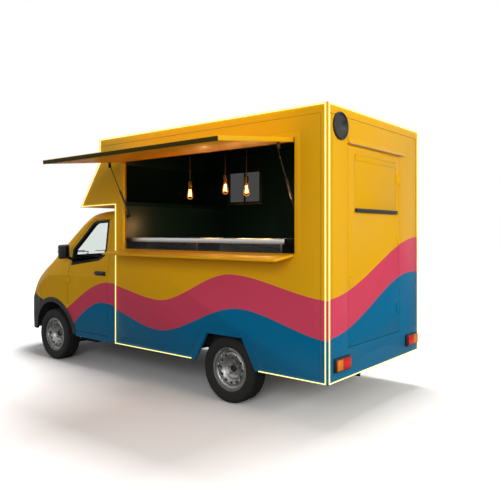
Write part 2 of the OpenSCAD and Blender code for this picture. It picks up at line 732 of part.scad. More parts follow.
counter_x0 = -2220;
counter_x1 = box_front - wall_t - 5;
counter_top = 1650;
counter_y0 = 470;
counter_y1 = inner - 40;
back_top = 1460;
back_y = -470;
panel_t = 20;
// Worktops on their carcasses: the tall one behind the hatch and the low one opposite
module counters() color("silver") {
    difference() {
        union() {
            block([counter_x0, counter_y0, counter_top - 42], [counter_x1, counter_y1, counter_top]);
            block([counter_x0 + 30, counter_y0 + 30, floor_z], [counter_x1 - 10, counter_y0 + 30 + panel_t, counter_top - 42]);
            for (x = [counter_x0 + 30, -1100, counter_x1 - 30])
                block([x, counter_y0 + 30, floor_z], [x + panel_t, counter_y1 - 20, counter_top - 42]);
        }
        wheel_box_room();
    }
    difference() {
        union() {
            block([-2100, -inner + 5, back_top - 42], [counter_x1, back_y, back_top]);
            block([-2080, back_y - 50, floor_z], [counter_x1 - 10, back_y - 30, back_top - 42]);
            for (x = [-2080, -1100, counter_x1 - 30])
                block([x, -inner + 5, floor_z], [x + panel_t, back_y - 30, back_top - 42]);
        }
        wheel_box_room();
    }
}
// Room that the counters leave for the boxes over the wheels
module wheel_box_room() both_sides()
    block([axle_r - arch_box_x - 20, arch_box_y - 20, rail_top], [axle_r + arch_box_x + 20, inner + eps, arch_box_z + 20]);

lamp_x = [-814, -1333, -1620];
lamp_z = [2148, 2183, 2151];
lamp_y = 700;
bulb_half = 70;
module pendant_stems() color([0.1, 0.08, 0.06]) for (i = [0 : 2]) translate([lamp_x[i], lamp_y, 0]) {
    translate([0, 0, roof_z - 18]) cylinder(r = 42, h = 18);
    translate([0, 0, lamp_z[i] + 125]) cylinder(r = 4, h = roof_z - lamp_z[i] - 140);
    translate([0, 0, lamp_z[i] + bulb_half]) cylinder(r = 20, h = 60);
}
// Pear-shaped bulbs
module bulbs() color([1, 0.8, 0.4, 0.5]) for (i = [0 : 2]) translate([lamp_x[i], lamp_y, lamp_z[i]])
    rotate_extrude() polygon([[0, -70], [14, -68], [25, -60], [31, -46], [32, -30], [29, -10],
        [22, 20], [16, 45], [14, 69.7], [0, 69.7]]);

tail_y = 755;
tail_z = 548;
tail_w = 262;
tail_h = 122;
module tail_lamps() color("firebrick") both_sides()
    block([box_rear - 42, tail_y - tail_w / 2, tail_z - tail_h / 2],
        [box_rear, tail_y + tail_w / 2, tail_z + tail_h / 2]);

// Light strips on the edges of both sides and of the rear
strip_w = 8;
strip_p = 7;
strip_in = 18;       // from the upright edges
strip_low = 5;       // from the top and bottom edges
// An outline moved inwards, by dx from its upright edges and dz from its level ones
module inset(dx, dz) intersection() {
    translate([dx, 0]) children();
    translate([-dx, 0]) children();
    translate([0, dz]) children();
    translate([0, -dz]) children();
}
// A ring that follows an outline from inside, drawn in two dimensions
module ring() difference() {
    inset(strip_in, strip_low) children();
    inset(strip_in + strip_w, strip_low + strip_w) children();
}
module edge_lights() color([1, 0.95, 0.7]) {
    both_sides() side_plate(half, half + strip_p) difference() {
        union() {
            ring() wall_outline();
            // Inner corner where the overcab part starts
            translate([box_front - strip_in - strip_w, luton_z - eps])
                square([strip_w, strip_low + strip_w + eps]);
            translate([box_front - strip_in - strip_w, luton_z + strip_low])
                square([strip_in + 2 * strip_w, strip_w]);
        }
        translate([axle_r - notch_low - 45, skirt_z - 50])
            square([2 * notch_low + 90, notch_z - skirt_z + 130]);
    }
    translate([box_rear - strip_p, 0, 0]) rotate([90, 0, 90]) linear_extrude(strip_p)
        ring() translate([-half, skirt_z]) square([box_w, box_top - skirt_z]);
}

// Tinted sliding window in the right wall
module side_window() color([0.1, 0.08, 0.06]) {
    difference() {
        block([window_x0 + 0.5, -half - 8, window_z0 + 0.5], [window_x1 - 0.5, -inner + 8, window_z1 - 0.5]);
        block([window_x0 + 30, -half - 10, window_z0 + 30], [window_x1 - 30, -inner + 10, window_z1 - 30]);
    }
    xm = (window_x0 + window_x1) / 2;
    block([window_x0 + 30, -half + 8, window_z0 + 30], [xm + 20, -half + 14, window_z1 - 30]);
    block([xm - 20, -half + 20, window_z0 + 30], [window_x1 - 30, -half + 26, window_z1 - 30]);
}

vent_y = 771;
vent_z = 2657;
vent_r = 125;
module rear_vent() color([0.05, 0.05, 0.05]) translate([box_rear, vent_y, vent_z]) rotate([0, -90, 0])
    rotate_extrude($fn = 72) polygon([[0, 0], [vent_r, 0], [vent_r, 16], [vent_r - 6, 22],
        [vent_r - 16, 22], [vent_r - 22, 12], [0, 12]]);

// ---------- nodes ----------

chassis_frame();
crossmembers();
towing_eye();
engine_block();
front_subframe();
rear_axle();
knuckle(1);  // knuckle_left
knuckle(-1);  // knuckle_right
rim(axle_f, 1);  // rim_front_left
rim(axle_f, -1);  // rim_front_right
rim(axle_r, 1);  // rim_rear_left
rim(axle_r, -1);  // rim_rear_right
tyre(axle_f, 1);  // tyre_front_left
tyre(axle_f, -1);  // tyre_front_right
tyre(axle_r, 1);  // tyre_rear_left
tyre(axle_r, -1);  // tyre_rear_right
cab_body();
cab_floor();
bonnet();
front_bumper();
headlamps();
windscreen();
door(1);  // door_left
door(-1);  // door_right
door_glass(1);  // door_glass_left
door_glass(-1);  // door_glass_right
door_mirror(1);  // mirror_left
door_mirror(-1);  // mirror_right
dashboard();
steering_wheel();
cab_seats();
box_floor();
box_left_wall();
box_right_wall();
box_front_wall();
box_roof();
box_rear_wall();
rear_door();
rear_flap();
serving_hatch();
serving_shelf();
strut_cylinder(strut_x_front);  // strut_cylinder_front
strut_cylinder(strut_x_rear);  // strut_cylinder_rear
strut_rod(strut_x_front);  // strut_rod_front
strut_rod(strut_x_rear);  // strut_rod_rear
counters();
pendant_stems();
bulbs();
tail_lamps();
edge_lights();
side_window();
rear_vent();
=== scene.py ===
import json
import math

import bpy
from mathutils.bvhtree import BVHTree
from mathutils import Matrix, Vector

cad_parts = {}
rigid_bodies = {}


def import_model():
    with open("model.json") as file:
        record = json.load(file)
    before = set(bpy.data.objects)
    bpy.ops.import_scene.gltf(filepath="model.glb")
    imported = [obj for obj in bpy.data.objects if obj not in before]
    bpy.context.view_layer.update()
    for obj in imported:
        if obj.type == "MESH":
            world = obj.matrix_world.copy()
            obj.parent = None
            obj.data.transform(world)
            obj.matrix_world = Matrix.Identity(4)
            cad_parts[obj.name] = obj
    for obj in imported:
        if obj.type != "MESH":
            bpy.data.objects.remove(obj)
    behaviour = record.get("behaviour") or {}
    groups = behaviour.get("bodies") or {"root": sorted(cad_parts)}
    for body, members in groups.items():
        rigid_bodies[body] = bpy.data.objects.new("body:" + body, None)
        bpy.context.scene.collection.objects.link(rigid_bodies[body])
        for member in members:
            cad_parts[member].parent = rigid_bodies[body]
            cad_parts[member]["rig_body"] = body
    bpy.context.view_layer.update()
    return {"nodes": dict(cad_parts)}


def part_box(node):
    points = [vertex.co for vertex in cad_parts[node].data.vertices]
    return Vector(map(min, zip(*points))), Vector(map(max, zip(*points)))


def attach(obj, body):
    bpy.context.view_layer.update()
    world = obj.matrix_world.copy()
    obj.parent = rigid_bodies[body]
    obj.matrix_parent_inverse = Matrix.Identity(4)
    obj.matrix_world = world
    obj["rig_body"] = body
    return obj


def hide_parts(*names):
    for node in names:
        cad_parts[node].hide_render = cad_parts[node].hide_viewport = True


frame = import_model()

scene = bpy.context.scene
scene.view_settings.view_transform = "Standard"

# ---------------------------------------------------------------- camera

lens = bpy.data.cameras.new("view")
lens.sensor_width = 36.0
lens.lens = 40.98
lens.shift_x = 0.024
lens.shift_y = -0.037
lens.clip_end = 100.0
camera = bpy.data.objects.new("view", lens)
camera.location = (-5.266, 5.233, 1.721)
camera.rotation_euler = (math.radians(90), 0, math.radians(-140.33))
scene.collection.objects.link(camera)
scene.camera = camera

# ---------------------------------------------------------------- places read from the frame

hatch_low, hatch_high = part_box("serving_hatch")
left_low, left_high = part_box("box_left_wall")
counter_low, counter_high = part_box("counters")
door_low, door_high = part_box("door_left")
box_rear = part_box("rear_vent")[1].x
half = left_high.y
box_top = left_high.z
skirt = left_low.z
wall = 0.040
inner = half - wall
wheel_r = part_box("tyre_rear_left")[1].z / 2
rear_axle = sum(v.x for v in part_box("tyre_rear_left")) / 2
front_axle = sum(v.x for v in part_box("tyre_front_left")) / 2
wheel_y = sum(v.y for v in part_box("tyre_rear_left")) / 2
opening = {"x0": -2.400, "x1": -0.005, "z0": 1.520, "z1": 2.565}
bulkhead_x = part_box("box_front_wall")[0].x + wall
overcab_z = 2.035
tip = (0.840, 2.025)
knee = (0.455, 2.550)
bulb_spots = [(-0.814, 2.148), (-1.333, 2.183), (-1.620, 2.151)]


# ---------------------------------------------------------------- materials

def paint(code):
    """An sRGB hex colour as the linear colour that the shaders take."""
    parts = [int(code[i:i + 2], 16) / 255 for i in (0, 2, 4)]
    return [p / 12.92 if p <= 0.04045 else ((p + 0.055) / 1.055) ** 2.4 for p in parts] + [1.0]


def add(tree, kind, settings=None, **links):
    """One shader node with its settings; a link's name is the input, spaces as underscores."""
    made = tree.nodes.new(kind)
    for key, value in (settings or {}).items():
        setattr(made, key, value)
    for key, value in links.items():
        socket = made.inputs[int(key[1:])] if key[1:].isdigit() else made.inputs[key.replace("_", " ")]
        if isinstance(value, bpy.types.NodeSocket):
            tree.links.new(value, socket)
        else:
            socket.default_value = value
    return made


def finish(name, **sockets):
    """A new material and its Principled shader, with constants set on its sockets."""
    made = bpy.data.materials.new(name)
    made.use_nodes = True
    shader = made.node_tree.nodes["Principled BSDF"]
    for key, value in sockets.items():
        shader.inputs[key.replace("_", " ")].default_value = value
    return made, made.node_tree, shader


def place(tree):
    return add(tree, "ShaderNodeTexCoord").outputs["Object"]


def parts_of(tree, vector):
    return add(tree, "ShaderNodeSeparateXYZ", _0=vector).outputs


def sums(tree, kind, a, b, c=None):
    links = {"_0": a, "_1": b}
    if c is not None:
        links["_2"] = c
    return add(tree, "ShaderNodeMath", {"operation": kind}, **links).outputs[0]


def blend_colour(tree, factor, first, second):
    mix = add(tree, "ShaderNodeMix", {"data_type": "RGBA"}, _0=factor, _6=first, _7=second)
    return mix.outputs[2]


def grain(tree, size_mm, detail=3.0, stretch=(1, 1, 1)):
    """Noise whose features are about size_mm across."""
    mapped = add(tree, "ShaderNodeMapping", _0=place(tree), _3=stretch).outputs[0]
    return add(tree, "ShaderNodeTexNoise", Vector=mapped, Scale=1000 / size_mm, Detail=detail).outputs[0]


def bump(tree, shader, height, depth_mm, strength=1.0):
    made = add(tree, "ShaderNodeBump", Strength=strength, Distance=depth_mm / 1000, Height=height)
    tree.links.new(made.outputs[0], shader.inputs["Normal"])


def vary_roughness(tree, shader, height, low, high):
    spread = add(tree, "ShaderNodeMapRange", Value=height, From_Min=0.3, From_Max=0.7, To_Min=low, To_Max=high)
    tree.links.new(spread.outputs[0], shader.inputs["Roughness"])


yellow = paint("F0B414")
pink = paint("DC4A66")
blue = paint("00709E")
lining_green = paint("0C1F1B")


def wave(tree, along, crests):
    """Height of a flowing stripe edge: a smooth rise or fall from each crest or trough to the next."""
    height = crests[0][1]
    for (start, first), (end, last) in zip(crests, crests[1:]):
        step = add(tree, "ShaderNodeMapRange", {"interpolation_type": "SMOOTHSTEP"}, Value=along, From_Min=start,
                   From_Max=end, To_Min=0.0, To_Max=last - first)
        height = sums(tree, "ADD", height, step.outputs[0])
    return height


# Crests and troughs of the stripe edges: distance along the truck, or across it at the rear, and height
left_upper = [(-2.80, 1.12), (-1.65, 1.30), (-0.60, 0.97), (0.35, 1.10), (1.80, 0.50)]
left_lower = [(-2.80, 0.77), (-1.75, 0.97), (-0.60, 0.64), (0.45, 0.85), (1.60, 0.30)]
right_upper = [(-2.80, 1.66), (-1.20, 1.08), (-0.35, 1.27), (0.80, 1.02), (1.80, 0.50)]
right_lower = [(-2.80, 1.26), (-1.20, 0.74), (-0.15, 0.95), (0.80, 0.76), (1.60, 0.30)]
rear_upper = [(-0.95, 1.66), (1.00, 1.13)]
rear_lower = [(-0.75, 1.28), (0.95, 0.79)]


def livery(tree, along, height, upper, lower):
    over_lower = sums(tree, "GREATER_THAN", height, wave(tree, along, lower))
    over_upper = sums(tree, "GREATER_THAN", height, wave(tree, along, upper))
    return blend_colour(tree, over_upper, blend_colour(tree, over_lower, blue, pink), yellow)


def road_dust(tree, colour, height):
    """A thin film of road dust that fades out a hand's breadth over the sill."""
    low = add(tree, "ShaderNodeMapRange", Value=height, From_Min=0.75, From_Max=0.38, To_Min=0.0, To_Max=0.22)
    patch = sums(tree, "MULTIPLY", low.outputs[0], grain(tree, 160, 5.0))
    return blend_colour(tree, patch, colour, paint("6E6658"))


def cab_inside(tree):
    """1 on the faces of the cab's shell, doors and bonnet that look towards the middle of the cab."""
    coordinates = add(tree, "ShaderNodeTexCoord")
    away = add(tree, "ShaderNodeVectorMath", {"operation": "SUBTRACT"}, _0=coordinates.outputs["Object"],
               _1=(0.95, 0.0, 1.15)).outputs[0]
    facing = add(tree, "ShaderNodeVectorMath", {"operation": "DOT_PRODUCT"}, _0=away,
                 _1=coordinates.outputs["Normal"]).outputs["Value"]
    return sums(tree, "LESS_THAN", facing, 0.0)


def overcab_inside(tree, x, z):
    """1 on the faces of the bulkhead and of the overcab nose that look into the kitchen."""
    across, along = knee[0] - tip[0], knee[1] - tip[1]
    length = math.hypot(across, along)
    nx, nz = along / length, -across / length
    slope = sums(tree, "MULTIPLY_ADD", x, nx, sums(tree, "MULTIPLY_ADD", z, nz, -(nx * tip[0] + nz * tip[1])))
    nose = sums(tree, "MAXIMUM", sums(tree, "LESS_THAN", x, knee[0] - wall / 2),
                sums(tree, "LESS_THAN", slope, -wall / 2))
    nose = sums(tree, "MULTIPLY", nose, sums(tree, "GREATER_THAN", z, overcab_z + wall / 2))
    return sums(tree, "MAXIMUM", nose, sums(tree, "LESS_THAN", x, bulkhead_x - wall / 2))


def body_paint(name, side, lined=None, window=None):
    """Satin wrap film over vehicle enamel: full flat colour with a soft sheen, cut into wave stripes."""
    made, tree, shader = finish(name, Roughness=0.42, Specular_IOR_Level=0.10, Coat_Weight=0.03, Coat_Roughness=0.12)
    x, y, z = parts_of(tree, place(tree))
    if side == "rear":
        colour = livery(tree, y, z, rear_upper, rear_lower)
    elif side == "left":
        colour = livery(tree, x, z, left_upper, left_lower)
    elif side == "right":
        colour = livery(tree, x, z, right_upper, right_lower)
    elif side == "cab":
        stripes = livery(tree, x, z, left_upper, left_lower)
        colour = blend_colour(tree, sums(tree, "GREATER_THAN", x, front_axle), stripes, yellow)
    else:
        colour = add(tree, "ShaderNodeRGB").outputs[0]
        # The orange is painted light: the hatch's yellow underside as the bulbs' warm glow falls on it
        colour.default_value = paint("F7A014") if side == "orange" else yellow
    colour = road_dust(tree, colour, z)
    if window:
        # Black surround: inside every half plane of the outline
        edge = None
        for (ax, az), (bx, bz) in zip(window, window[1:] + window[:1]):
            length = math.hypot(bx - ax, bz - az)
            nx, nz = -(bz - az) / length, (bx - ax) / length
            away = sums(tree, "ADD", sums(tree, "MULTIPLY", x, nx), sums(tree, "MULTIPLY_ADD", z, nz,
                                                                     -(nx * ax + nz * az)))
            edge = away if edge is None else sums(tree, "MAXIMUM", edge, away)
        colour = blend_colour(tree, sums(tree, "LESS_THAN", edge, 0.034), colour, paint("0B0B0C"))
    if lined == "cab":
        colour = blend_colour(tree, cab_inside(tree), colour, paint("1B1C1E"))
    elif lined == "overcab":
        colour = blend_colour(tree, overcab_inside(tree, x, z), colour, lining_green)
    elif lined:
        axis, sign, limit = lined
        reach = sums(tree, "MULTIPLY", (x, y, z)[axis], float(sign))
        colour = blend_colour(tree, sums(tree, "LESS_THAN", reach, limit), colour, lining_green)
    tree.links.new(colour, shader.inputs["Base Color"])
    # Orange peel: shallow ripples, drawn coarser than real so that they show
    peel = grain(tree, 14, 2.0)
    bump(tree, shader, peel, 0.05, 0.25)
    vary_roughness(tree, shader, grain(tree, 220, 4.0), 0.38, 0.50)
    return made


def plain(name, code, roughness, metallic=0.0, grain_mm=3.0, depth_mm=0.05, mottle=0.12, **sockets):
    """A material of one colour with a fine surface and slight colour variation."""
    made, tree, shader = finish(name, Metallic=metallic, **sockets)
    base = paint(code)
    darker = [c * (1 - mottle) for c in base[:3]] + [1.0]
    texture = grain(tree, grain_mm, 4.0)
    tree.links.new(blend_colour(tree, grain(tree, grain_mm * 40, 3.0), darker, base), shader.inputs["Base Color"])
    vary_roughness(tree, shader, texture, max(0.02, roughness - 0.06), roughness + 0.06)
    bump(tree, shader, texture, depth_mm, 0.5)
    return made


def brushed(name, code, roughness, stretch):
    """Sheet stainless steel, brushed in one direction: long fine scratches."""
    made, tree, shader = finish(name, Metallic=1.0, Base_Color=paint(code))
    scratch = grain(tree, 6, 3.0, stretch)
    vary_roughness(tree, shader, scratch, roughness - 0.08, roughness + 0.1)
    bump(tree, shader, scratch, 0.03, 0.4)
    return made


def glowing(name, code, strength):
    """Opal plastic lit from behind."""
    made, tree, shader = finish(name, Base_Color=paint(code), Roughness=0.4, Emission_Color=paint(code),
                                Emission_Strength=strength)
    bump(tree, shader, grain(tree, 8), 0.02, 0.2)
    return made


def clear(name, code, roughness=0.03, weight=1.0, ior=1.5):
    """Glass or clear plastic, tinted in the mass."""
    made, tree, shader = finish(name, Base_Color=paint(code), Roughness=roughness, IOR=ior,
                                Transmission_Weight=weight)
    bump(tree, shader, grain(tree, 300, 2.0), 0.02, 0.1)
    return made


def thin_glass(name, code, see_through):
    """Flat toughened glass: a thin pane that shows a sheen over what lies behind."""
    made = bpy.data.materials.new(name)
    made.use_nodes = True
    tree = made.node_tree
    shader = tree.nodes["Principled BSDF"]
    shader.inputs["Base Color"].default_value = paint(code)
    shader.inputs["Roughness"].default_value = 0.04
    pass_light = add(tree, "ShaderNodeBsdfTransparent", Color=paint("FAFCFB"))
    outer = sums(tree, "SUBTRACT", 1.0, add(tree, "ShaderNodeNewGeometry").outputs["Backfacing"])
    sheen = sums(tree, "MULTIPLY", add(tree, "ShaderNodeFresnel", IOR=1.45).outputs[0], outer)
    amount = sums(tree, "MAXIMUM", sheen, 1.0 - see_through)
    mix = add(tree, "ShaderNodeMixShader", _0=amount, _1=pass_light.outputs[0], _2=shader.outputs[0])
    tree.links.new(mix.outputs[0], tree.nodes["Material Output"].inputs[0])
    return made


def warm_bulb(name):
    """Amber glass of a lit filament bulb: clear in the middle, glowing towards its outline."""
    made, tree, shader = finish(name, Base_Color=paint("FFC070"), Roughness=0.05)
    through = add(tree, "ShaderNodeBsdfTransparent", Color=paint("FFE2B0"))
    shine = add(tree, "ShaderNodeEmission", Color=paint("FF9A3C"), Strength=1.1)
    edge = add(tree, "ShaderNodeLayerWeight", Blend=0.35).outputs["Facing"]
    body = add(tree, "ShaderNodeMixShader", _0=edge, _1=through.outputs[0], _2=shine.outputs[0])
    tree.links.new(body.outputs[0], tree.nodes["Material Output"].inputs[0])
    return made


def framed_smoked_glass(name, low, high):
    """Sliding window: a black powder-coated frame, and dark smoked panes inside it."""
    made = thin_glass(name, "120D08", 0.25)
    tree = made.node_tree
    x, y, z = parts_of(tree, place(tree))
    pane = None
    for along, a, b in ((x, low.x + 0.0300, high.x - 0.0300), (z, low.z + 0.0300, high.z - 0.0300)):
        inside = sums(tree, "MULTIPLY", sums(tree, "GREATER_THAN", along, a + 0.0006),
                      sums(tree, "LESS_THAN", along, b - 0.0006))
        pane = inside if pane is None else sums(tree, "MULTIPLY", pane, inside)
    frame_coat = add(tree, "ShaderNodeBsdfPrincipled", Base_Color=paint("0D0D0E"), Roughness=0.45)
    output = tree.nodes["Material Output"]
    shown = output.inputs[0].links[0].from_socket
    mix = add(tree, "ShaderNodeMixShader", _0=pane, _1=frame_coat.outputs[0], _2=shown)
    tree.links.new(mix.outputs[0], output.inputs[0])
    return made


def woven(name, code, other, thread_mm):
    """Woven seat cloth: two threads that pass over and under each other."""
    made, tree, shader = finish(name, Roughness=0.9, Sheen_Weight=0.35)
    mapped = place(tree)
    warp = add(tree, "ShaderNodeTexWave", {"wave_type": "BANDS", "bands_direction": "X"}, Vector=mapped,
               Scale=1000 / thread_mm / 3.14).outputs[1]
    weft = add(tree, "ShaderNodeTexWave", {"wave_type": "BANDS", "bands_direction": "Z"}, Vector=mapped,
               Scale=1000 / thread_mm / 3.14).outputs[1]
    weave = sums(tree, "MULTIPLY", warp, weft)
    tree.links.new(blend_colour(tree, weave, paint(code), paint(other)), shader.inputs["Base Color"])
    bump(tree, shader, weave, 0.6, 0.5)
    return made


def cast_iron(name, code):
    """Sand-cast iron and black chassis paint, with patches of rust."""
    made, tree, shader = finish(name, Metallic=0.2, Roughness=0.7)
    rust = add(tree, "ShaderNodeMapRange", Value=grain(tree, 45, 6.0), From_Min=0.58, From_Max=0.72).outputs[0]
    tree.links.new(blend_colour(tree, rust, paint(code), paint("4A2C1A")), shader.inputs["Base Color"])
    bump(tree, shader, grain(tree, 4, 5.0), 0.3, 0.5)
    return made


def wheel_paint(name):
    """Pressed steel sprayed silver: fine metal flake and patches of brake dust."""
    made, tree, shader = finish(name, Metallic=0.75, Roughness=0.38)
    dust = add(tree, "ShaderNodeMapRange", Value=grain(tree, 160, 4.0), From_Min=0.40, From_Max=0.75, To_Max=0.6)
    colour = blend_colour(tree, dust.outputs[0], paint("A4A5A3"), paint("706A60"))
    tree.links.new(colour, shader.inputs["Base Color"])
    bump(tree, shader, grain(tree, 6, 2.0), 0.02, 0.25)
    return made


def tyre_rubber(name):
    """Carbon-black tyre rubber, greyed by the road, with moulding lines round the wall."""
    made, tree, shader = finish(name, Roughness=0.85)
    grey = add(tree, "ShaderNodeMapRange", Value=grain(tree, 70, 6.0), From_Min=0.35, From_Max=0.75).outputs[0]
    tree.links.new(blend_colour(tree, grey, paint("0E0E0E"), paint("1A1917")), shader.inputs["Base Color"])
    bump(tree, shader, grain(tree, 3, 4.0), 0.2, 0.5)
    return made


# Corners of the cab door's glass, along the truck and up
door_glass_outline = [(0.480, 1.500), (0.505, 1.834), (0.740, 1.824), (0.796, 1.796), (1.128, 1.478),
                      (1.120, 1.318), (0.590, 1.392), (0.500, 1.440)]
enamel_left = body_paint("enamel_left_wall", "left", lined=(1, 1, inner + 0.0006))
enamel_right = body_paint("enamel_right_wall", "right", lined=(1, -1, inner + 0.0006))
enamel_rear = body_paint("enamel_rear_wall", "rear", lined=(0, -1, -(box_rear + wall - 0.010)))
enamel_cab = body_paint("enamel_cab", "cab", lined="cab")
enamel_door = body_paint("enamel_cab_door", "cab", lined="cab", window=door_glass_outline)
enamel_overcab = body_paint("enamel_overcab", "plain", lined="overcab")
enamel_bonnet = body_paint("enamel_bonnet", "plain", lined="cab")
enamel_yellow = body_paint("enamel_yellow", "plain")
# Painted light: the hatch underside is yellow, painted orange for the warm glow of the bulbs, which also light it
bulb_glow_painted_orange = body_paint("painted_bulb_glow_hatch_underside", "orange")
enamel_roof = body_paint("enamel_roof", "plain", lined=(2, 1, box_top - wall + 0.0006))
lining = plain("green_laminate_lining", "0E2620", 0.35, grain_mm=6, depth_mm=0.04)
black_moulding = plain("grained_black_polypropylene", "17181A", 0.58, grain_mm=2.2, depth_mm=0.12)
black_gloss = plain("gloss_black_abs", "0A0A0B", 0.18, grain_mm=8, depth_mm=0.01, Coat_Weight=0.5)
black_rubber = plain("epdm_rubber_seal", "101010", 0.72, grain_mm=2, depth_mm=0.1)
chassis_black = cast_iron("chassis_black_paint", "151516")
iron = cast_iron("cast_iron", "3A3A3B")
silver_wheel = wheel_paint("silver_wheel_paint")
rubber = tyre_rubber("tyre_rubber")
steel = brushed("brushed_stainless", "C9CACA", 0.34, (0.06, 1, 1))
bright_steel = brushed("polished_rod_steel", "D8D8D8", 0.16, (1, 1, 1))
zinc = plain("zinc_plated_steel", "8D8F90", 0.35, metallic=1.0, grain_mm=3)
aluminium = plain("anodised_aluminium", "A8A294", 0.38, metallic=0.9, grain_mm=3)
edge_brown = plain("bronze_anodised_hinge", "8A5A4A", 0.45, metallic=0.5, grain_mm=4)
# Painted shade: the hatch's front edge is yellow, painted dark olive for the shade that it lies in
painted_shade_edge = plain("painted_shade_hatch_edge", "3A340A", 0.6, grain_mm=4, Specular_IOR_Level=0.1)
# Painted shade: panel seams drawn as thin dark-yellow beads for the shade in their grooves
seam_shade_line = plain("painted_seam_shade", "7A5A08", 0.7, grain_mm=4)
glass = thin_glass("toughened_glass", "11181A", 0.985)
lamp_cover = thin_glass("headlamp_cover", "11181A", 0.93)
warm_strip = glowing("warm_light_strip", "FFF09A", 1.15)
nitrided_rod = plain("black_nitrided_rod", "1A1A1B", 0.25, metallic=0.6, grain_mm=4, depth_mm=0.01)
amber_lens = clear("amber_acrylic", "FF8A10", 0.12, 0.55)
red_lens = clear("red_acrylic", "E8180C", 0.12, 0.5)
white_lens = clear("clear_polycarbonate", "F2F5F7", 0.05, 0.85)
reflector = plain("vacuum_metallised_reflector", "E8E8E8", 0.08, metallic=1.0, grain_mm=20, depth_mm=0.01)
bulb_glass = warm_bulb("amber_bulb_glass")
filament = glowing("glowing_filament", "FFB65A", 60.0)
brass = plain("aged_brass", "6E4E22", 0.4, metallic=1.0, grain_mm=3)
cloth = woven("seat_cloth", "17181B", "2C2E33", 6.0)
dash_skin = plain("soft_touch_dashboard", "1C1D1F", 0.62, grain_mm=3, depth_mm=0.25)
vinyl = plain("studded_vinyl_floor", "34373A", 0.55, grain_mm=10, depth_mm=0.5)
mirror_face = plain("silvered_mirror", "E4E8EA", 0.03, metallic=1.0, grain_mm=60, depth_mm=0.0, mottle=0.0)
smoked_window = framed_smoked_glass("smoked_sliding_window", *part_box("side_window"))
plate_white = plain("blank_number_plate", "D9D8D0", 0.4, grain_mm=5)


# ---------------------------------------------------------------- making pieces by hand

def deselect():
    for thing in bpy.context.selected_objects:
        thing.select_set(False)


def only(piece):
    deselect()
    piece.select_set(True)
    bpy.context.view_layer.objects.active = piece


def settle(piece):
    """Puts a piece's place into its mesh, so that its object sits at the origin."""
    only(piece)
    bpy.ops.object.transform_apply(location=True, rotation=True, scale=True)


def dress(piece, name, body, material):
    piece.name = name
    piece.data.materials.clear()
    piece.data.materials.append(material)
    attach(piece, body)
    return piece


def soften(piece, width, segments=2, angle=35):
    """Rounds the edges and gives smooth shading between them."""
    only(piece)
    rounding = piece.modifiers.new("rounding", "BEVEL")
    rounding.width = width
    rounding.segments = segments
    rounding.limit_method = "ANGLE"
    rounding.angle_limit = math.radians(30)
    bpy.ops.object.modifier_apply(modifier="rounding")
    bpy.ops.object.shade_smooth_by_angle(angle=math.radians(angle))
    return piece


def bar(low, high, width=0.002, segments=2):
    """A rounded bar or board between two corners."""
    low, high = Vector(low), Vector(high)
    deselect()
    bpy.ops.mesh.primitive_cube_add(size=1, location=(low + high) / 2)
    piece = bpy.context.object
    piece.scale = high - low
    settle(piece)
    return soften(piece, width, segments) if width else piece


def turned(rings, at, direction="z", steps=64, capped=(False, False)):
    """A piece turned on a lathe: rings are (radius, distance along the axis)."""
    deselect()
    bpy.ops.mesh.primitive_circle_add(vertices=steps, radius=rings[0][0], location=(0, 0, rings[0][1]))
    piece = bpy.context.object
    settle(piece)
    bpy.ops.object.mode_set(mode="EDIT")
    bpy.ops.mesh.select_all(action="SELECT")
    if capped[0]:
        bpy.ops.mesh.extrude_region()
        bpy.ops.mesh.merge(type="CENTER")
        bpy.ops.mesh.select_all(action="SELECT")
        bpy.ops.mesh.select_non_manifold()
    before = rings[0]
    for ring in rings[1:]:
        bpy.ops.mesh.extrude_region()
        if ring[1] != before[1]:
            bpy.ops.transform.translate(value=(0, 0, ring[1] - before[1]))
        if ring[0] != before[0]:
            grow = ring[0] / before[0]
            bpy.ops.transform.resize(value=(grow, grow, 1), center_override=(0, 0, ring[1]))
        before = ring
    if capped[1]:
        bpy.ops.mesh.extrude_region()
        bpy.ops.mesh.merge(type="CENTER")
    bpy.ops.mesh.select_all(action="SELECT")
    bpy.ops.mesh.remove_doubles(threshold=0.00002)
    bpy.ops.mesh.normals_make_consistent(inside=False)
    bpy.ops.object.mode_set(mode="OBJECT")
    turn = {"z": (0, 0, 0), "y": (-math.pi / 2, 0, 0), "-y": (math.pi / 2, 0, 0),
            "x": (0, math.pi / 2, 0), "-x": (0, -math.pi / 2, 0), "-z": (math.pi, 0, 0)}[direction]
    piece.rotation_euler = turn
    piece.location = at
    settle(piece)
    only(piece)
    bpy.ops.object.shade_smooth_by_angle(angle=math.radians(35))
    return piece


def bead(points, radius, closed=False, sides=3):
    """A round bead or wire that runs through points."""
    line = bpy.data.curves.new("bead", "CURVE")
    line.dimensions = "3D"
    line.bevel_depth = radius
    line.bevel_resolution = sides
    spline = line.splines.new("POLY")
    spline.points.add(len(points) - 1)
    for point, spot in zip(spline.points, points):
        point.co = (*spot, 1)
    spline.use_cyclic_u = closed
    piece = bpy.data.objects.new("bead", line)
    scene.collection.objects.link(piece)
    only(piece)
    bpy.ops.object.convert(target="MESH")
    piece = bpy.context.object
    only(piece)
    bpy.ops.object.shade_smooth_by_angle(angle=math.radians(50))
    return piece


def join(pieces):
    deselect()
    for piece in pieces:
        piece.select_set(True)
    bpy.context.view_layer.objects.active = pieces[0]
    bpy.ops.object.join()
    return bpy.context.object


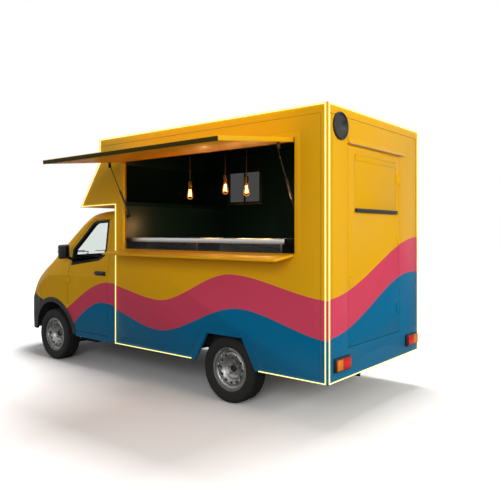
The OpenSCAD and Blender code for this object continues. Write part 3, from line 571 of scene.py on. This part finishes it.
def copy_of(node, name, material, rounding=0.0, angle=32, flat=0.3):
    """A clean copy of a CAD node that stands for it: merged, its flat faces joined, its edges softened."""
    source = frame["nodes"][node]
    piece = bpy.data.objects.new(name, source.data.copy())
    scene.collection.objects.link(piece)
    only(piece)
    bpy.ops.object.mode_set(mode="EDIT")
    bpy.ops.mesh.select_all(action="SELECT")
    bpy.ops.mesh.remove_doubles(threshold=0.00005)
    bpy.ops.mesh.dissolve_limited(angle_limit=math.radians(flat))
    bpy.ops.object.mode_set(mode="OBJECT")
    if rounding:
        soften(piece, rounding, 2, angle)
    else:
        bpy.ops.object.shade_smooth_by_angle(angle=math.radians(angle))
    body = source["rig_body"]
    dress(piece, name, body, material)
    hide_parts(node)
    return piece


# ---------------------------------------------------------------- CAD nodes that keep their shape

def finish_nodes():
    for node in ("chassis_frame", "crossmembers", "towing_eye"):
        if node in frame["nodes"]:
            copy_of(node, node + "_painted", chassis_black, 0.003)
    copy_of("box_floor", "kitchen_floor_vinyl", vinyl, 0.003)
    for node in ("engine_block", "front_subframe", "rear_axle", "knuckle_left", "knuckle_right"):
        copy_of(node, node + "_cast", iron if node != "rear_axle" else chassis_black)
    for end in ("front", "rear"):
        for side in ("left", "right"):
            copy_of(f"rim_{end}_{side}", f"wheel_{end}_{side}", silver_wheel, angle=40)
    copy_of("cab_body", "cab_shell_painted", enamel_cab, angle=28, flat=0.05)
    copy_of("cab_floor", "cab_floor_painted", chassis_black)
    copy_of("bonnet", "bonnet_painted", enamel_bonnet, angle=28, flat=0.05)
    copy_of("front_bumper", "bumper_moulded", black_moulding, angle=28, flat=0.05)
    copy_of("headlamps", "headlamp_lenses", lamp_cover, angle=28, flat=0.05)
    copy_of("windscreen", "windscreen_glass", glass, angle=28, flat=0.05)
    for side in ("left", "right"):
        copy_of(f"door_{side}", f"cab_door_{side}_painted", enamel_door, angle=28, flat=0.05)
        copy_of(f"door_glass_{side}", f"cab_door_{side}_pane", glass, angle=28, flat=0.05)
        copy_of(f"mirror_{side}", f"mirror_{side}_housing", black_moulding, angle=60, flat=0.05)
    copy_of("dashboard", "dashboard_skin", dash_skin, 0.012)
    copy_of("steering_wheel", "steering_wheel_rim", black_rubber, angle=40)
    copy_of("box_left_wall", "left_wall_painted", enamel_left, 0.003)
    copy_of("box_right_wall", "right_wall_painted", enamel_right, 0.003)
    copy_of("box_front_wall", "overcab_painted", enamel_overcab, 0.003)
    copy_of("box_roof", "roof_painted", enamel_roof, 0.003)
    copy_of("box_rear_wall", "rear_wall_painted", enamel_rear, 0.002)
    copy_of("rear_door", "rear_door_painted", enamel_rear, 0.002)
    copy_of("rear_flap", "rear_flap_painted", enamel_rear, 0.002)
    copy_of("serving_hatch", "hatch_panel_painted", enamel_yellow, 0.003)
    copy_of("serving_shelf", "shelf_painted", enamel_yellow, 0.003)
    for end in ("front", "rear"):
        copy_of(f"strut_cylinder_{end}", f"gas_strut_tube_{end}", black_gloss)
        copy_of(f"strut_rod_{end}", f"gas_strut_rod_{end}", nitrided_rod)
    copy_of("counters", "worktops_steel", steel, 0.002)
    copy_of("pendant_stems", "pendant_fittings", brass, angle=40)
    copy_of("edge_lights", "edge_light_strips", warm_strip)
    copy_of("side_window", "side_window_unit", smoked_window, 0.001)
    copy_of("rear_vent", "rear_vent_cover", black_moulding, angle=25)


# ---------------------------------------------------------------- wheels

def tyre(end, side):
    """A radial tyre: grooved tread with cut shoulder blocks, and ribs moulded round the walls."""
    w = 0.1025
    r = wheel_r
    rim = 0.2203
    outline = [(rim - 0.004, -0.070), (rim, -0.088), (rim + 0.008, -0.094), (rim + 0.026, -0.0985),
               (rim + 0.030, -0.0995), (rim + 0.034, -0.0985), (rim + 0.055, -0.1015), (rim + 0.070, -w),
               (rim + 0.084, -0.1000), (rim + 0.087, -0.1012), (rim + 0.090, -0.0990), (r - 0.012, -0.0925),
               (r - 0.004, -0.084), (r - 0.001, -0.074), (r, -0.058), (r - 0.008, -0.057), (r - 0.008, -0.048),
               (r, -0.047), (r, -0.022), (r - 0.008, -0.021), (r - 0.008, -0.012), (r, -0.011)]
    rings = outline + [(a, -b) for a, b in reversed(outline)]
    sign = 1 if side == "left" else -1
    x = front_axle if end == "front" else rear_axle
    piece = turned(rings, (x, sign * wheel_y, wheel_r), "y", steps=180)
    only(piece)
    # Cut every third shoulder face inwards, so that blocks stand between the cuts
    bpy.ops.object.mode_set(mode="EDIT")
    bpy.ops.mesh.select_all(action="DESELECT")
    bpy.ops.object.mode_set(mode="OBJECT")
    for face in piece.data.polygons:
        away = face.center - Vector((x, sign * wheel_y, wheel_r))
        across = abs(away.y)
        radius = math.hypot(away.x, away.z)
        turn = int(round(math.degrees(math.atan2(away.z, away.x)) / 2 - 0.5))
        shoulder = 0.058 < across < 0.0905 and radius > r - 0.009
        centre = 0.022 < across < 0.0475 and radius > r - 0.002
        face.select = (shoulder and turn % 3 == 0) or (centre and turn % 4 == 0)
    bpy.ops.object.mode_set(mode="EDIT")
    bpy.ops.mesh.extrude_region_shrink_fatten(TRANSFORM_OT_shrink_fatten={"value": -0.006})
    bpy.ops.object.mode_set(mode="OBJECT")
    bpy.ops.object.shade_smooth_by_angle(angle=math.radians(30))
    body = f"{end}_{side}_wheel"
    dress(piece, f"tyre_{end}_{side}_treaded", body, rubber)
    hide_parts(f"tyre_{end}_{side}")


def hub_fittings(end, side):
    """Five wheel nuts, the dark hub in the middle and the tyre valve."""
    sign = 1 if side == "left" else -1
    x = front_axle if end == "front" else rear_axle
    way = "y" if side == "left" else "-y"
    face = wheel_y + 0.012
    body = f"{end}_{side}_wheel"
    nuts = []
    for i in range(5):
        turn = math.radians(90 + 72 * i)
        spot = (x + 0.057 * math.cos(turn), sign * face, wheel_r + 0.057 * math.sin(turn))
        nuts.append(turned([(0.0145, 0.0), (0.0145, 0.003), (0.0105, 0.005), (0.0105, 0.018), (0.007, 0.022)],
                           spot, way, steps=6, capped=(False, True)))
    dress(join(nuts), f"wheel_nuts_{end}_{side}", body, zinc)
    hub = turned([(0.035, 0.0), (0.035, 0.014), (0.031, 0.018), (0.022, 0.019), (0.020, 0.012)],
                 (x, sign * (face - 0.006), wheel_r), way, steps=40, capped=(False, True))
    dress(hub, f"hub_cap_{end}_{side}", body, black_moulding)
    valve = turned([(0.0055, 0.0), (0.0055, 0.010), (0.004, 0.014), (0.004, 0.034), (0.0028, 0.036)],
                   (x + 0.178, sign * (wheel_y + 0.030), wheel_r), way, steps=16, capped=(True, True))
    dress(valve, f"tyre_valve_{end}_{side}", body, black_rubber)


# ---------------------------------------------------------------- kitchen box

def hatch_border():
    """Folded aluminium frame round the serving opening, painted with the wall."""
    x0, x1, z0, z1 = opening["x0"], opening["x1"], opening["z0"], opening["z1"]
    width, proud = 0.055, 0.005
    rails = [bar((x0 - width, half, z1), (x1 + 0.045, half + proud, z1 + 0.047), 0.0015),
             bar((x0 - width, half, z0), (x0, half + proud, z1), 0.0015),
             bar((x1, half, z0), (x1 + 0.045, half + proud, z1), 0.0015)]
    dress(join(rails), "hatch_frame", "truck", enamel_yellow)
    seal = bead([(x0 + 0.004, inner + 0.012, z0 + 0.004), (x1 - 0.004, inner + 0.012, z0 + 0.004),
                 (x1 - 0.004, inner + 0.012, z1 - 0.004), (x0 + 0.004, inner + 0.012, z1 - 0.004)], 0.0035, True)
    dress(seal, "hatch_seal", "truck", black_rubber)


def skirt_moulding(sign, name):
    """A slim half-round moulding that follows the skirt and steps round the wheel arch."""
    y = sign * (half + 0.001)
    low = skirt + 0.042
    spots = [(box_rear + 0.075, low), (rear_axle - 0.480, low), (rear_axle - 0.292, 0.752), (rear_axle + 0.292, 0.752),
             (rear_axle + 0.480, low), (0.120, low)]
    piece = bead([(x, y, z) for x, z in spots], 0.0045)
    side = enamel_left if sign > 0 else enamel_right
    dress(piece, name, "truck", side)


def corner_posts():
    """Extruded corner posts: the shade in the shallow groove where each meets its wall panel, painted as a thin
    dark-yellow bead.
    """
    lines = []
    for y in (half + 0.0004, -half - 0.0004):
        for points in ([(box_rear + 0.068, y, skirt + 0.03), (box_rear + 0.068, y, box_top - 0.086),
                        (0.43, y, box_top - 0.086)],):
            lines.append(bead(points, 0.0018, sides=1))
    for y in (half - 0.070, -half + 0.070):
        lines.append(bead([(box_rear - 0.0004, y, 0.66), (box_rear - 0.0004, y, box_top - 0.088)], 0.0018, sides=1))
    lines.append(bead([(box_rear - 0.0004, -half + 0.03, box_top - 0.088), (box_rear - 0.0004, half - 0.03,
                       box_top - 0.088)], 0.0018, sides=1))
    dress(join(lines), "panel_joints", "truck", seam_shade_line)


def hatch_trims():
    """Edge trims, hinge strip, underside skin and strut lugs of the serving hatch, in the hatch's own slope."""
    droop = math.radians(6.3)
    hinge = Vector((0, half + 0.0064, opening["z1"] + 0.002))
    x0, x1 = opening["x0"] + 0.005, opening["x1"] - 0.005
    # The front edge's dark olive is painted shade on the yellow hatch
    made = [(bar((x0, 1.030, -0.0435), (x1, 1.046, -0.0050), 0.002), "hatch_front_edge", painted_shade_edge),
            (bar((x0, 1.0465, -0.0085), (x1, 1.0485, -0.0040), 0.0005), "hatch_edge_bead", enamel_yellow),
            (bar((x0 + 0.008, 0.010, -0.0440), (x1 - 0.008, 0.045, -0.0418), 0.0006), "hatch_hinge_strip", edge_brown),
            # The inner skin's orange is painted warm light from the bulbs on the yellow underside
            (bar((x0 + 0.06, 0.075, -0.0432), (x1 - 0.06, 0.985, -0.0416), 0.0004), "hatch_inner_skin", bulb_glow_painted_orange),
            (join([bar((x - 0.0058, 0.203, -0.1008), (x + 0.0058, 0.237, -0.0416), 0.0008)
                   for x in (opening["x0"] + 0.0245, opening["x1"] - 0.0245)]), "hatch_strut_lugs", black_gloss)]
    for piece, name, material in made:
        piece.data.transform(Matrix.Rotation(-droop, 4, "X"))
        piece.data.transform(Matrix.Translation(hinge))
        dress(piece, name, "serving_hatch", material)


def rear_door_fittings():
    """Handle bar of the flap, the door's lock and grab handle, and the drip rail lip over the door."""
    x = box_rear
    rail = join([bar((x - 0.026, -0.388, 1.905), (x - 0.001, 0.498, 1.935), 0.004),
                 bar((x - 0.030, -0.392, 1.899), (x - 0.020, 0.502, 1.907), 0.002)])
    dress(rail, "flap_handle_bar", "rear_flap", black_moulding)
    lock = turned([(0.030, 0.0), (0.030, 0.003), (0.027, 0.005), (0.021, 0.005), (0.019, 0.002)],
                  (x, 0.575, 1.330), "-x", steps=40, capped=(False, True))
    dress(lock, "rear_door_lock", "rear_door", enamel_yellow)
    paddle = bar((x - 0.006, 0.545, 1.205), (x, 0.605, 1.285), 0.003)
    dress(paddle, "rear_door_paddle", "rear_door", enamel_rear)
    drip = bar((x - 0.030, -0.568, 2.515), (x - 0.024, 0.636, 2.523), 0.001)
    dress(drip, "drip_rail_lip", "truck", aluminium)


def tail_lamps():
    """Rectangular lamps: a black housing, and amber and red lenses over metallised reflectors."""
    for side, sign in (("left", 1), ("right", -1)):
        low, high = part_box("tail_lamps")
        width, height = 0.262, 0.122
        y_mid, z_mid = 0.755, (low.z + high.z) / 2
        x = box_rear
        case = bar((x - 0.030, sign * y_mid - width / 2, z_mid - height / 2),
                   (x, sign * y_mid + width / 2, z_mid + height / 2), 0.004)
        dress(case, f"tail_lamp_{side}_case", "truck", black_moulding)
        outer, inner_end = sign * (y_mid + width / 2 - 0.010), sign * (y_mid - width / 2 + 0.010)
        split = sign * (y_mid + 0.018)
        for name, a, b, lens in (("indicator", outer, split + sign * 0.0015, amber_lens),
                                 ("brake", split - sign * 0.0015, inner_end, red_lens)):
            low_y, high_y = min(a, b), max(a, b)
            cover = bar((x - 0.042, low_y, z_mid - 0.050), (x - 0.028, high_y, z_mid + 0.050), 0.003)
            dress(cover, f"tail_lamp_{side}_{name}", "truck", lens)
            bulb = bar((x - 0.031, low_y + 0.006, z_mid - 0.044), (x - 0.0295, high_y - 0.006, z_mid + 0.044), 0.0005)
            dress(bulb, f"tail_lamp_{side}_{name}_reflector", "truck", reflector)
        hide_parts("tail_lamps")


def inside_lining():
    """Green laminate on the bulkhead, the overcab wall and the overcab floor."""
    low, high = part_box("box_front_wall")
    x = low.x
    sheet = bar((x - 0.003, -inner + 0.002, 0.562), (x - 0.0005, inner - 0.002, 2.030), 0.0005)
    dress(sheet, "bulkhead_lining", "truck", lining)
    upper = bar((0.4115, -inner + 0.003, 2.560), (0.4145, inner - 0.003, 2.795), 0.0005)
    dress(upper, "overcab_lining", "truck", lining)
    base = bar((x + 0.01, -inner + 0.003, 2.0765), (0.730, inner - 0.003, 2.0785), 0.0)
    dress(base, "overcab_floor_lining", "truck", lining)


def pendant_bulbs():
    """Pear-shaped filament bulbs, thin glass round four upright glowing wires."""
    low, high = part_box("bulbs")
    y = (low.y + high.y) / 2
    shades, wires, caps = [], [], []
    for x, z in bulb_spots:
        shades.append(turned([(0.004, -0.0695), (0.014, -0.068), (0.025, -0.060), (0.031, -0.046), (0.032, -0.030),
                              (0.029, -0.010), (0.022, 0.020), (0.016, 0.045), (0.0135, 0.066)],
                             (x, y, z), steps=40, capped=(True, False)))
        for i in range(6):
            turn = math.radians(60 * i)
            a, b = math.cos(turn), math.sin(turn)
            wires.append(bead([(x + 0.006 * a, y + 0.006 * b, z + 0.036), (x + 0.013 * a, y + 0.013 * b, z - 0.034)],
                              0.0016, sides=2))
        caps.append(turned([(0.0145, 0.058), (0.0150, 0.062), (0.0150, 0.076), (0.021, 0.078), (0.021, 0.128),
                            (0.012, 0.136)], (x, y, z), steps=32, capped=(True, True)))
    glass_piece = dress(join(shades), "bulb_glasses", "truck", bulb_glass)
    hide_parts("bulbs")
    dress(join(wires), "bulb_filaments", "truck", filament)
    dress(join(caps), "bulb_holders", "truck", brass)


def worktop_edges():
    """Folded steel front edge of the service worktop and its bright end cap."""
    x0, x1 = counter_low.x, -0.055
    front = bar((x0 + 0.010, inner - 0.040, 1.602), (x1, inner - 0.037, 1.648), 0.001)
    dress(front, "worktop_front_edge", "truck", steel)
    cap = bar((x0 - 0.012, inner - 0.075, 1.600), (x0 - 0.001, inner - 0.037, 1.652), 0.002)
    dress(cap, "worktop_end_cap", "truck", bright_steel)


# ---------------------------------------------------------------- cab

surfaces = {}


def touch(node, spot, way):
    """Where a ray from spot first meets a CAD node, and the way its surface faces there."""
    if node not in surfaces:
        mesh = frame["nodes"][node].data
        surfaces[node] = BVHTree.FromPolygons([v.co for v in mesh.vertices], [f.vertices for f in mesh.polygons])
    met, normal, _, _ = surfaces[node].ray_cast(Vector(spot), Vector(way))
    if met is None:
        met, normal, _, _ = surfaces[node].find_nearest(Vector(spot))
    return met, normal


def across_front(z, reach, proud, steps=16):
    """Points over the bumper's face at one height, proud of it by a named amount."""
    made = []
    for i in range(steps + 1):
        y = -reach + 2 * reach * i / steps
        spot, _ = touch("front_bumper", (3.0, y, z), (-1, 0, 0))
        made.append((spot.x + proud, y, z))
    return made


def laid_sheet(name, low, high, node, proud, material):
    """A thin sheet in the YZ plane that is pressed onto a node's front."""
    deselect()
    bpy.ops.mesh.primitive_grid_add(x_subdivisions=6, y_subdivisions=24, size=1)
    sheet = bpy.context.object
    sheet.scale = (high[1] - low[1], high[0] - low[0], 1)
    sheet.rotation_euler = (0, math.pi / 2, 0)
    sheet.location = (3.0, (low[0] + high[0]) / 2, (low[1] + high[1]) / 2)
    settle(sheet)
    for corner in sheet.data.vertices:
        met, _ = touch(node, corner.co, (-1, 0, 0))
        corner.co.x = met.x + proud
    thick = sheet.modifiers.new("thick", "SOLIDIFY")
    thick.thickness = 0.0015
    bpy.ops.object.modifier_apply(modifier="thick")
    bpy.ops.object.shade_smooth_by_angle(angle=math.radians(35))
    return dress(sheet, name, "truck", material)


def front_face():
    """Grille, lower intake, fog lamps and blank plate on the bumper."""
    laid_sheet("upper_grille_panel", (-0.40, 0.735), (0.40, 0.845), "front_bumper", 0.002, black_gloss)
    laid_sheet("lower_intake_panel", (-0.46, 0.425), (0.46, 0.555), "front_bumper", 0.002, black_gloss)
    slats = [bead(across_front(z, 0.385, 0.006), 0.0055) for z in (0.755, 0.780, 0.805, 0.828)]
    dress(join(slats), "upper_grille_slats", "truck", black_moulding)
    slats = [bead(across_front(z, 0.445, 0.006), 0.0050) for z in (0.445, 0.470, 0.495, 0.520, 0.542)]
    dress(join(slats), "lower_intake_slats", "truck", black_moulding)
    spot, _ = touch("front_bumper", (3.0, 0.24, 0.650), (-1, 0, 0))
    nose, _ = touch("front_bumper", (3.0, 0.0, 0.650), (-1, 0, 0))
    holder = bar((spot.x - 0.012, -0.264, 0.590), (nose.x + 0.006, 0.264, 0.710), 0.003)
    dress(holder, "front_plate_holder", "truck", black_moulding)
    plate = bar((nose.x + 0.005, -0.260, 0.594), (nose.x + 0.008, 0.260, 0.706), 0.001)
    dress(plate, "front_plate_blank", "truck", plate_white)
    for side, sign in (("left", 1), ("right", -1)):
        spot, facing = touch("front_bumper", (3.0, sign * 0.640, 0.500), (-1, 0, 0))
        bowl = aimed([(0.058, 0.0), (0.056, 0.008), (0.048, 0.009), (0.043, 0.003)], spot, facing)
        dress(bowl, f"fog_lamp_{side}_bezel", "truck", black_gloss)
        lens = aimed([(0.043, 0.003), (0.030, 0.006), (0.012, 0.0075)], spot, facing, (False, True))
        dress(lens, f"fog_lamp_{side}_lens", "truck", reflector)


def aimed(rings, spot, facing, capped=(False, False)):
    """A turned piece at spot whose axis lies along the way a surface faces."""
    piece = turned(rings, (0, 0, 0), steps=40, capped=capped)
    piece.rotation_euler = facing.to_track_quat("Z", "Y").to_euler()
    piece.location = spot
    settle(piece)
    return piece


def headlamp_insides():
    """Two metallised bowls with their bulbs behind each clear headlamp cover."""
    for side, sign in (("left", 1), ("right", -1)):
        bowls, bulbs = [], []
        for y, z, size in ((0.700, 0.955, 0.044), (0.800, 0.960, 0.036)):
            spot, facing = touch("headlamps", (3.0, sign * y, z), (-1, 0, 0))
            deep = spot - facing * 0.027
            bowls.append(aimed([(0.010, 0.001), (size * 0.60, 0.004), (size * 0.85, 0.012), (size, 0.022),
                                (size + 0.004, 0.022)], deep, facing))
            bulbs.append(aimed([(0.009, 0.002), (0.009, 0.014), (0.006, 0.019)], deep, facing, (False, True)))
        dress(join(bowls), f"headlamp_{side}_bowls", "truck", reflector)
        dress(join(bulbs), f"headlamp_{side}_bulbs", "truck", white_lens)


def driver_controls():
    """Instrument dials, air vents, gear lever and pedals."""
    dials = []
    for y, size in ((-0.455, 0.046), (-0.345, 0.046)):
        spot, facing = touch("dashboard", (0.80, y, 1.235), (1, 0, 0))
        dials.append(aimed([(size, -0.002), (size, 0.008), (size - 0.004, 0.010), (size - 0.005, 0.004)], spot, facing))
    dress(join(dials), "instrument_bezels", "truck", black_gloss)
    vents = []
    for y in (-0.760, -0.100, 0.100, 0.760):
        for z in (1.165, 1.180, 1.195, 1.210, 1.225):
            spot, _ = touch("dashboard", (0.80, y, z), (1, 0, 0))
            vents.append(bar((spot.x - 0.006, y - 0.055, z - 0.004), (spot.x + 0.004, y + 0.055, z + 0.004), 0.001))
    dress(join(vents), "dashboard_vents", "truck", black_gloss)
    spot, _ = touch("dashboard", (0.80, 0.0, 1.060), (1, 0, 0))
    rod = bead([(spot.x + 0.01, -0.02, 1.010), (spot.x - 0.055, -0.02, 1.050), (spot.x - 0.085, -0.02, 1.105)], 0.008)
    knob = turned([(0.012, -0.012), (0.022, 0.0), (0.026, 0.018), (0.020, 0.036)], (spot.x - 0.087, -0.02, 1.112),
                  steps=24, capped=(True, True))
    dress(join([rod, knob]), "gear_lever", "truck", black_gloss)
    pedals = []
    for y in (-0.53, -0.42, -0.31):
        pedals.append(bead([(1.30, y, 0.93), (1.20, y, 0.76), (1.17, y, 0.70)], 0.009))
        pedals.append(bar((1.150, y - 0.030, 0.665), (1.166, y + 0.030, 0.725), 0.004))
    dress(join(pedals), "pedals", "truck", chassis_black)


def door_handles():
    """Black pull handle on a shallow oval recess plate."""
    for side, sign in (("left", 1), ("right", -1)):
        y = sign * 0.930
        plate = bar((0.400, min(y, y + sign * 0.006), 1.180), (0.600, max(y, y + sign * 0.006), 1.232), 0.010, 4)
        grip = bar((0.412, min(y + sign * 0.020, y + sign * 0.034), 1.194),
                   (0.588, max(y + sign * 0.020, y + sign * 0.034), 1.220), 0.006, 3)
        feet = [bar((x, min(y, y + sign * 0.026), 1.197), (x + 0.030, max(y, y + sign * 0.026), 1.217), 0.004)
                for x in (0.418, 0.552)]
        dress(join([plate, grip] + feet), f"door_handle_{side}", f"{side}_door", black_moulding)


def mirror_glasses():
    for side, sign in (("left", 1), ("right", -1)):
        pane = bar((1.0905, min(sign * 0.985, sign * 1.095), 1.400), (1.0935, max(sign * 0.985, sign * 1.095), 1.528),
                   0.001)
        dress(pane, f"mirror_glass_{side}", f"{side}_door", mirror_face)


def wipers():
    """Two wiper arms parked along the foot of the windscreen."""
    made = []
    for y in (0.30, -0.32):
        made.append(bead([(1.640, y, 1.395), (1.600, y + 0.02, 1.435), (1.560, y + 0.42, 1.448)], 0.006))
        made.append(bead([(1.566, y + 0.10, 1.452), (1.552, y + 0.55, 1.445)], 0.005))
        made.append(turned([(0.016, -0.02), (0.016, 0.012), (0.010, 0.018)], (1.640, y, 1.390), steps=20,
                           capped=(True, True)))
    dress(join(made), "wipers", "truck", black_moulding)


def seats():
    """Driver and passenger seats: padded base, back and headrest on a moulded plinth."""
    low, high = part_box("cab_seats")
    rear = low.x
    pads = []
    for name, y in (("driver", -0.400), ("passenger", 0.400)):
        plinth = bar((rear + 0.10, y - 0.200, 0.530), (0.880, y + 0.200, 0.765), 0.012)
        dress(plinth, f"{name}_seat_plinth", "truck", black_moulding)
        pads.append((f"{name}_seat_base", (0.40, y - 0.250, 0.770), (0.905, y + 0.250, 0.890), 0.035))
        pads.append((f"{name}_seat_back", (rear + 0.03, y - 0.245, 0.875), (rear + 0.175, y + 0.245, 1.490), 0.035))
        pads.append((f"{name}_headrest", (rear + 0.01, y - 0.130, 1.535), (rear + 0.100, y + 0.130, 1.700), 0.030))
        rods = [turned([(0.006, 1.47), (0.006, 1.55)], (rear + 0.06, y + s * 0.06, 0), steps=12) for s in (-1, 1)]
        dress(join(rods), f"{name}_headrest_rods", "truck", bright_steel)
    puff_limit = 0.012
    for name, a, b, rounding in pads:
        pad = bar(a, b, rounding, 4)
        pad.name = name
        only(pad)
        mesh_up = pad.modifiers.new("remesh", "REMESH")
        mesh_up.mode = "VOXEL"
        mesh_up.voxel_size = 0.008
        bpy.ops.object.modifier_apply(modifier="remesh")
        before = [v.co.copy() for v in pad.data.vertices]
        puff = pad.modifiers.new("puff", "CLOTH")
        puff.settings.use_pressure = True
        puff.settings.uniform_pressure_force = 4.0
        puff.settings.effector_weights.gravity = 0.0
        puff.settings.tension_stiffness = 25
        for count in range(1, 21):
            scene.frame_set(count)
        bpy.ops.object.modifier_apply(modifier="puff")
        scene.frame_set(1)
        for vertex, old in zip(pad.data.vertices, before):
            moved = vertex.co - old
            if moved.length > puff_limit:
                vertex.co = old + moved * (puff_limit / moved.length)
        smooth = pad.modifiers.new("smooth", "SUBSURF")
        smooth.levels = 1
        smooth.render_levels = 1
        bpy.ops.object.modifier_apply(modifier="smooth")
        bpy.ops.object.shade_smooth()
        dress(pad, name, "truck", cloth)
        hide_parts("cab_seats")


# ---------------------------------------------------------------- stage

def studio():
    deselect()
    bpy.ops.mesh.primitive_plane_add(size=60, location=(0, 0, 0))
    floor = bpy.context.object
    floor.name = "floor"
    made = bpy.data.materials.new("pale_floor")
    made.use_nodes = True
    tree = made.node_tree
    shader = tree.nodes["Principled BSDF"]
    shader.inputs["Roughness"].default_value = 0.9
    shader.inputs["Specular IOR Level"].default_value = 0.0
    rays = add(tree, "ShaderNodeLightPath")
    seen = sums(tree, "MAXIMUM", rays.outputs["Is Camera Ray"], rays.outputs["Is Transmission Ray"])
    tree.links.new(blend_colour(tree, seen, (0.30, 0.30, 0.30, 1), (1.35, 1.35, 1.35, 1)), shader.inputs["Base Color"])
    # The floor turns to plain white away from the truck, as an infinity cove does
    away = add(tree, "ShaderNodeVectorMath", {"operation": "LENGTH"}, _0=place(tree)).outputs["Value"]
    white = add(tree, "ShaderNodeMapRange", Value=away, From_Min=3.6, From_Max=8.0).outputs[0]
    lift = add(tree, "ShaderNodeEmission", Color=(1, 1, 1, 1), Strength=sums(tree, "MULTIPLY", white, seen))
    both = add(tree, "ShaderNodeAddShader", _0=shader.outputs[0], _1=lift.outputs[0])
    tree.links.new(both.outputs[0], tree.nodes["Material Output"].inputs[0])
    floor.data.materials.append(made)

    world = bpy.data.worlds.new("studio")
    scene.world = world
    world.use_nodes = True
    tree = world.node_tree
    rays = add(tree, "ShaderNodeLightPath")
    straight = sums(tree, "MAXIMUM", rays.outputs["Is Camera Ray"], sums(tree, "MAXIMUM",
                    rays.outputs["Is Glossy Ray"], rays.outputs["Is Transmission Ray"]))
    strength = add(tree, "ShaderNodeMapRange", Value=straight, To_Min=0.20, To_Max=1.0).outputs[0]
    tree.links.new(strength, tree.nodes["Background"].inputs["Strength"])
    tree.nodes["Background"].inputs["Color"].default_value = (1, 1, 1, 1)

    def softbox(name, spot, aim, size, watts, tint="FFFFFF"):
        lamp = bpy.data.lights.new(name, "AREA")
        lamp.shape = "RECTANGLE"
        lamp.size, lamp.size_y = size
        lamp.energy = watts
        lamp.color = paint(tint)[:3]
        holder = bpy.data.objects.new(name, lamp)
        holder.location = spot
        holder.rotation_euler = (Vector(aim) - Vector(spot)).to_track_quat("-Z", "Y").to_euler()
        scene.collection.objects.link(holder)

    softbox("overhead", (-0.5, -0.6, 8.0), (-0.5, -0.2, 0.0), (5, 4), 760)
    softbox("rear_key", (-9.5, 0.6, 3.2), (-2.7, 0.0, 1.5), (4, 3), 300, "FFFAF0")
    softbox("side_fill", (-6.0, 8.0, 3.6), (-1.8, 1.0, 1.6), (4, 3), 250)
    # The three bulbs light the kitchen and the underside of the hatch
    for i, (x, _) in enumerate(bulb_spots):
        lamp = bpy.data.lights.new(f"bulb_light_{i}", "POINT")
        lamp.energy = 7
        lamp.shadow_soft_size = 0.05
        lamp.color = paint("FFC47A")[:3]
        holder = bpy.data.objects.new(lamp.name, lamp)
        holder.location = (x, 0.35, 2.02)
        scene.collection.objects.link(holder)


# ---------------------------------------------------------------- the whole truck

finish_nodes()
for end in ("front", "rear"):
    for side in ("left", "right"):
        tyre(end, side)
        hub_fittings(end, side)
hatch_border()
skirt_moulding(1, "skirt_moulding_left")
skirt_moulding(-1, "skirt_moulding_right")
corner_posts()
hatch_trims()
rear_door_fittings()
tail_lamps()
inside_lining()
pendant_bulbs()
worktop_edges()
door_handles()
mirror_glasses()
wipers()
front_face()
headlamp_insides()
driver_controls()
seats()
studio()
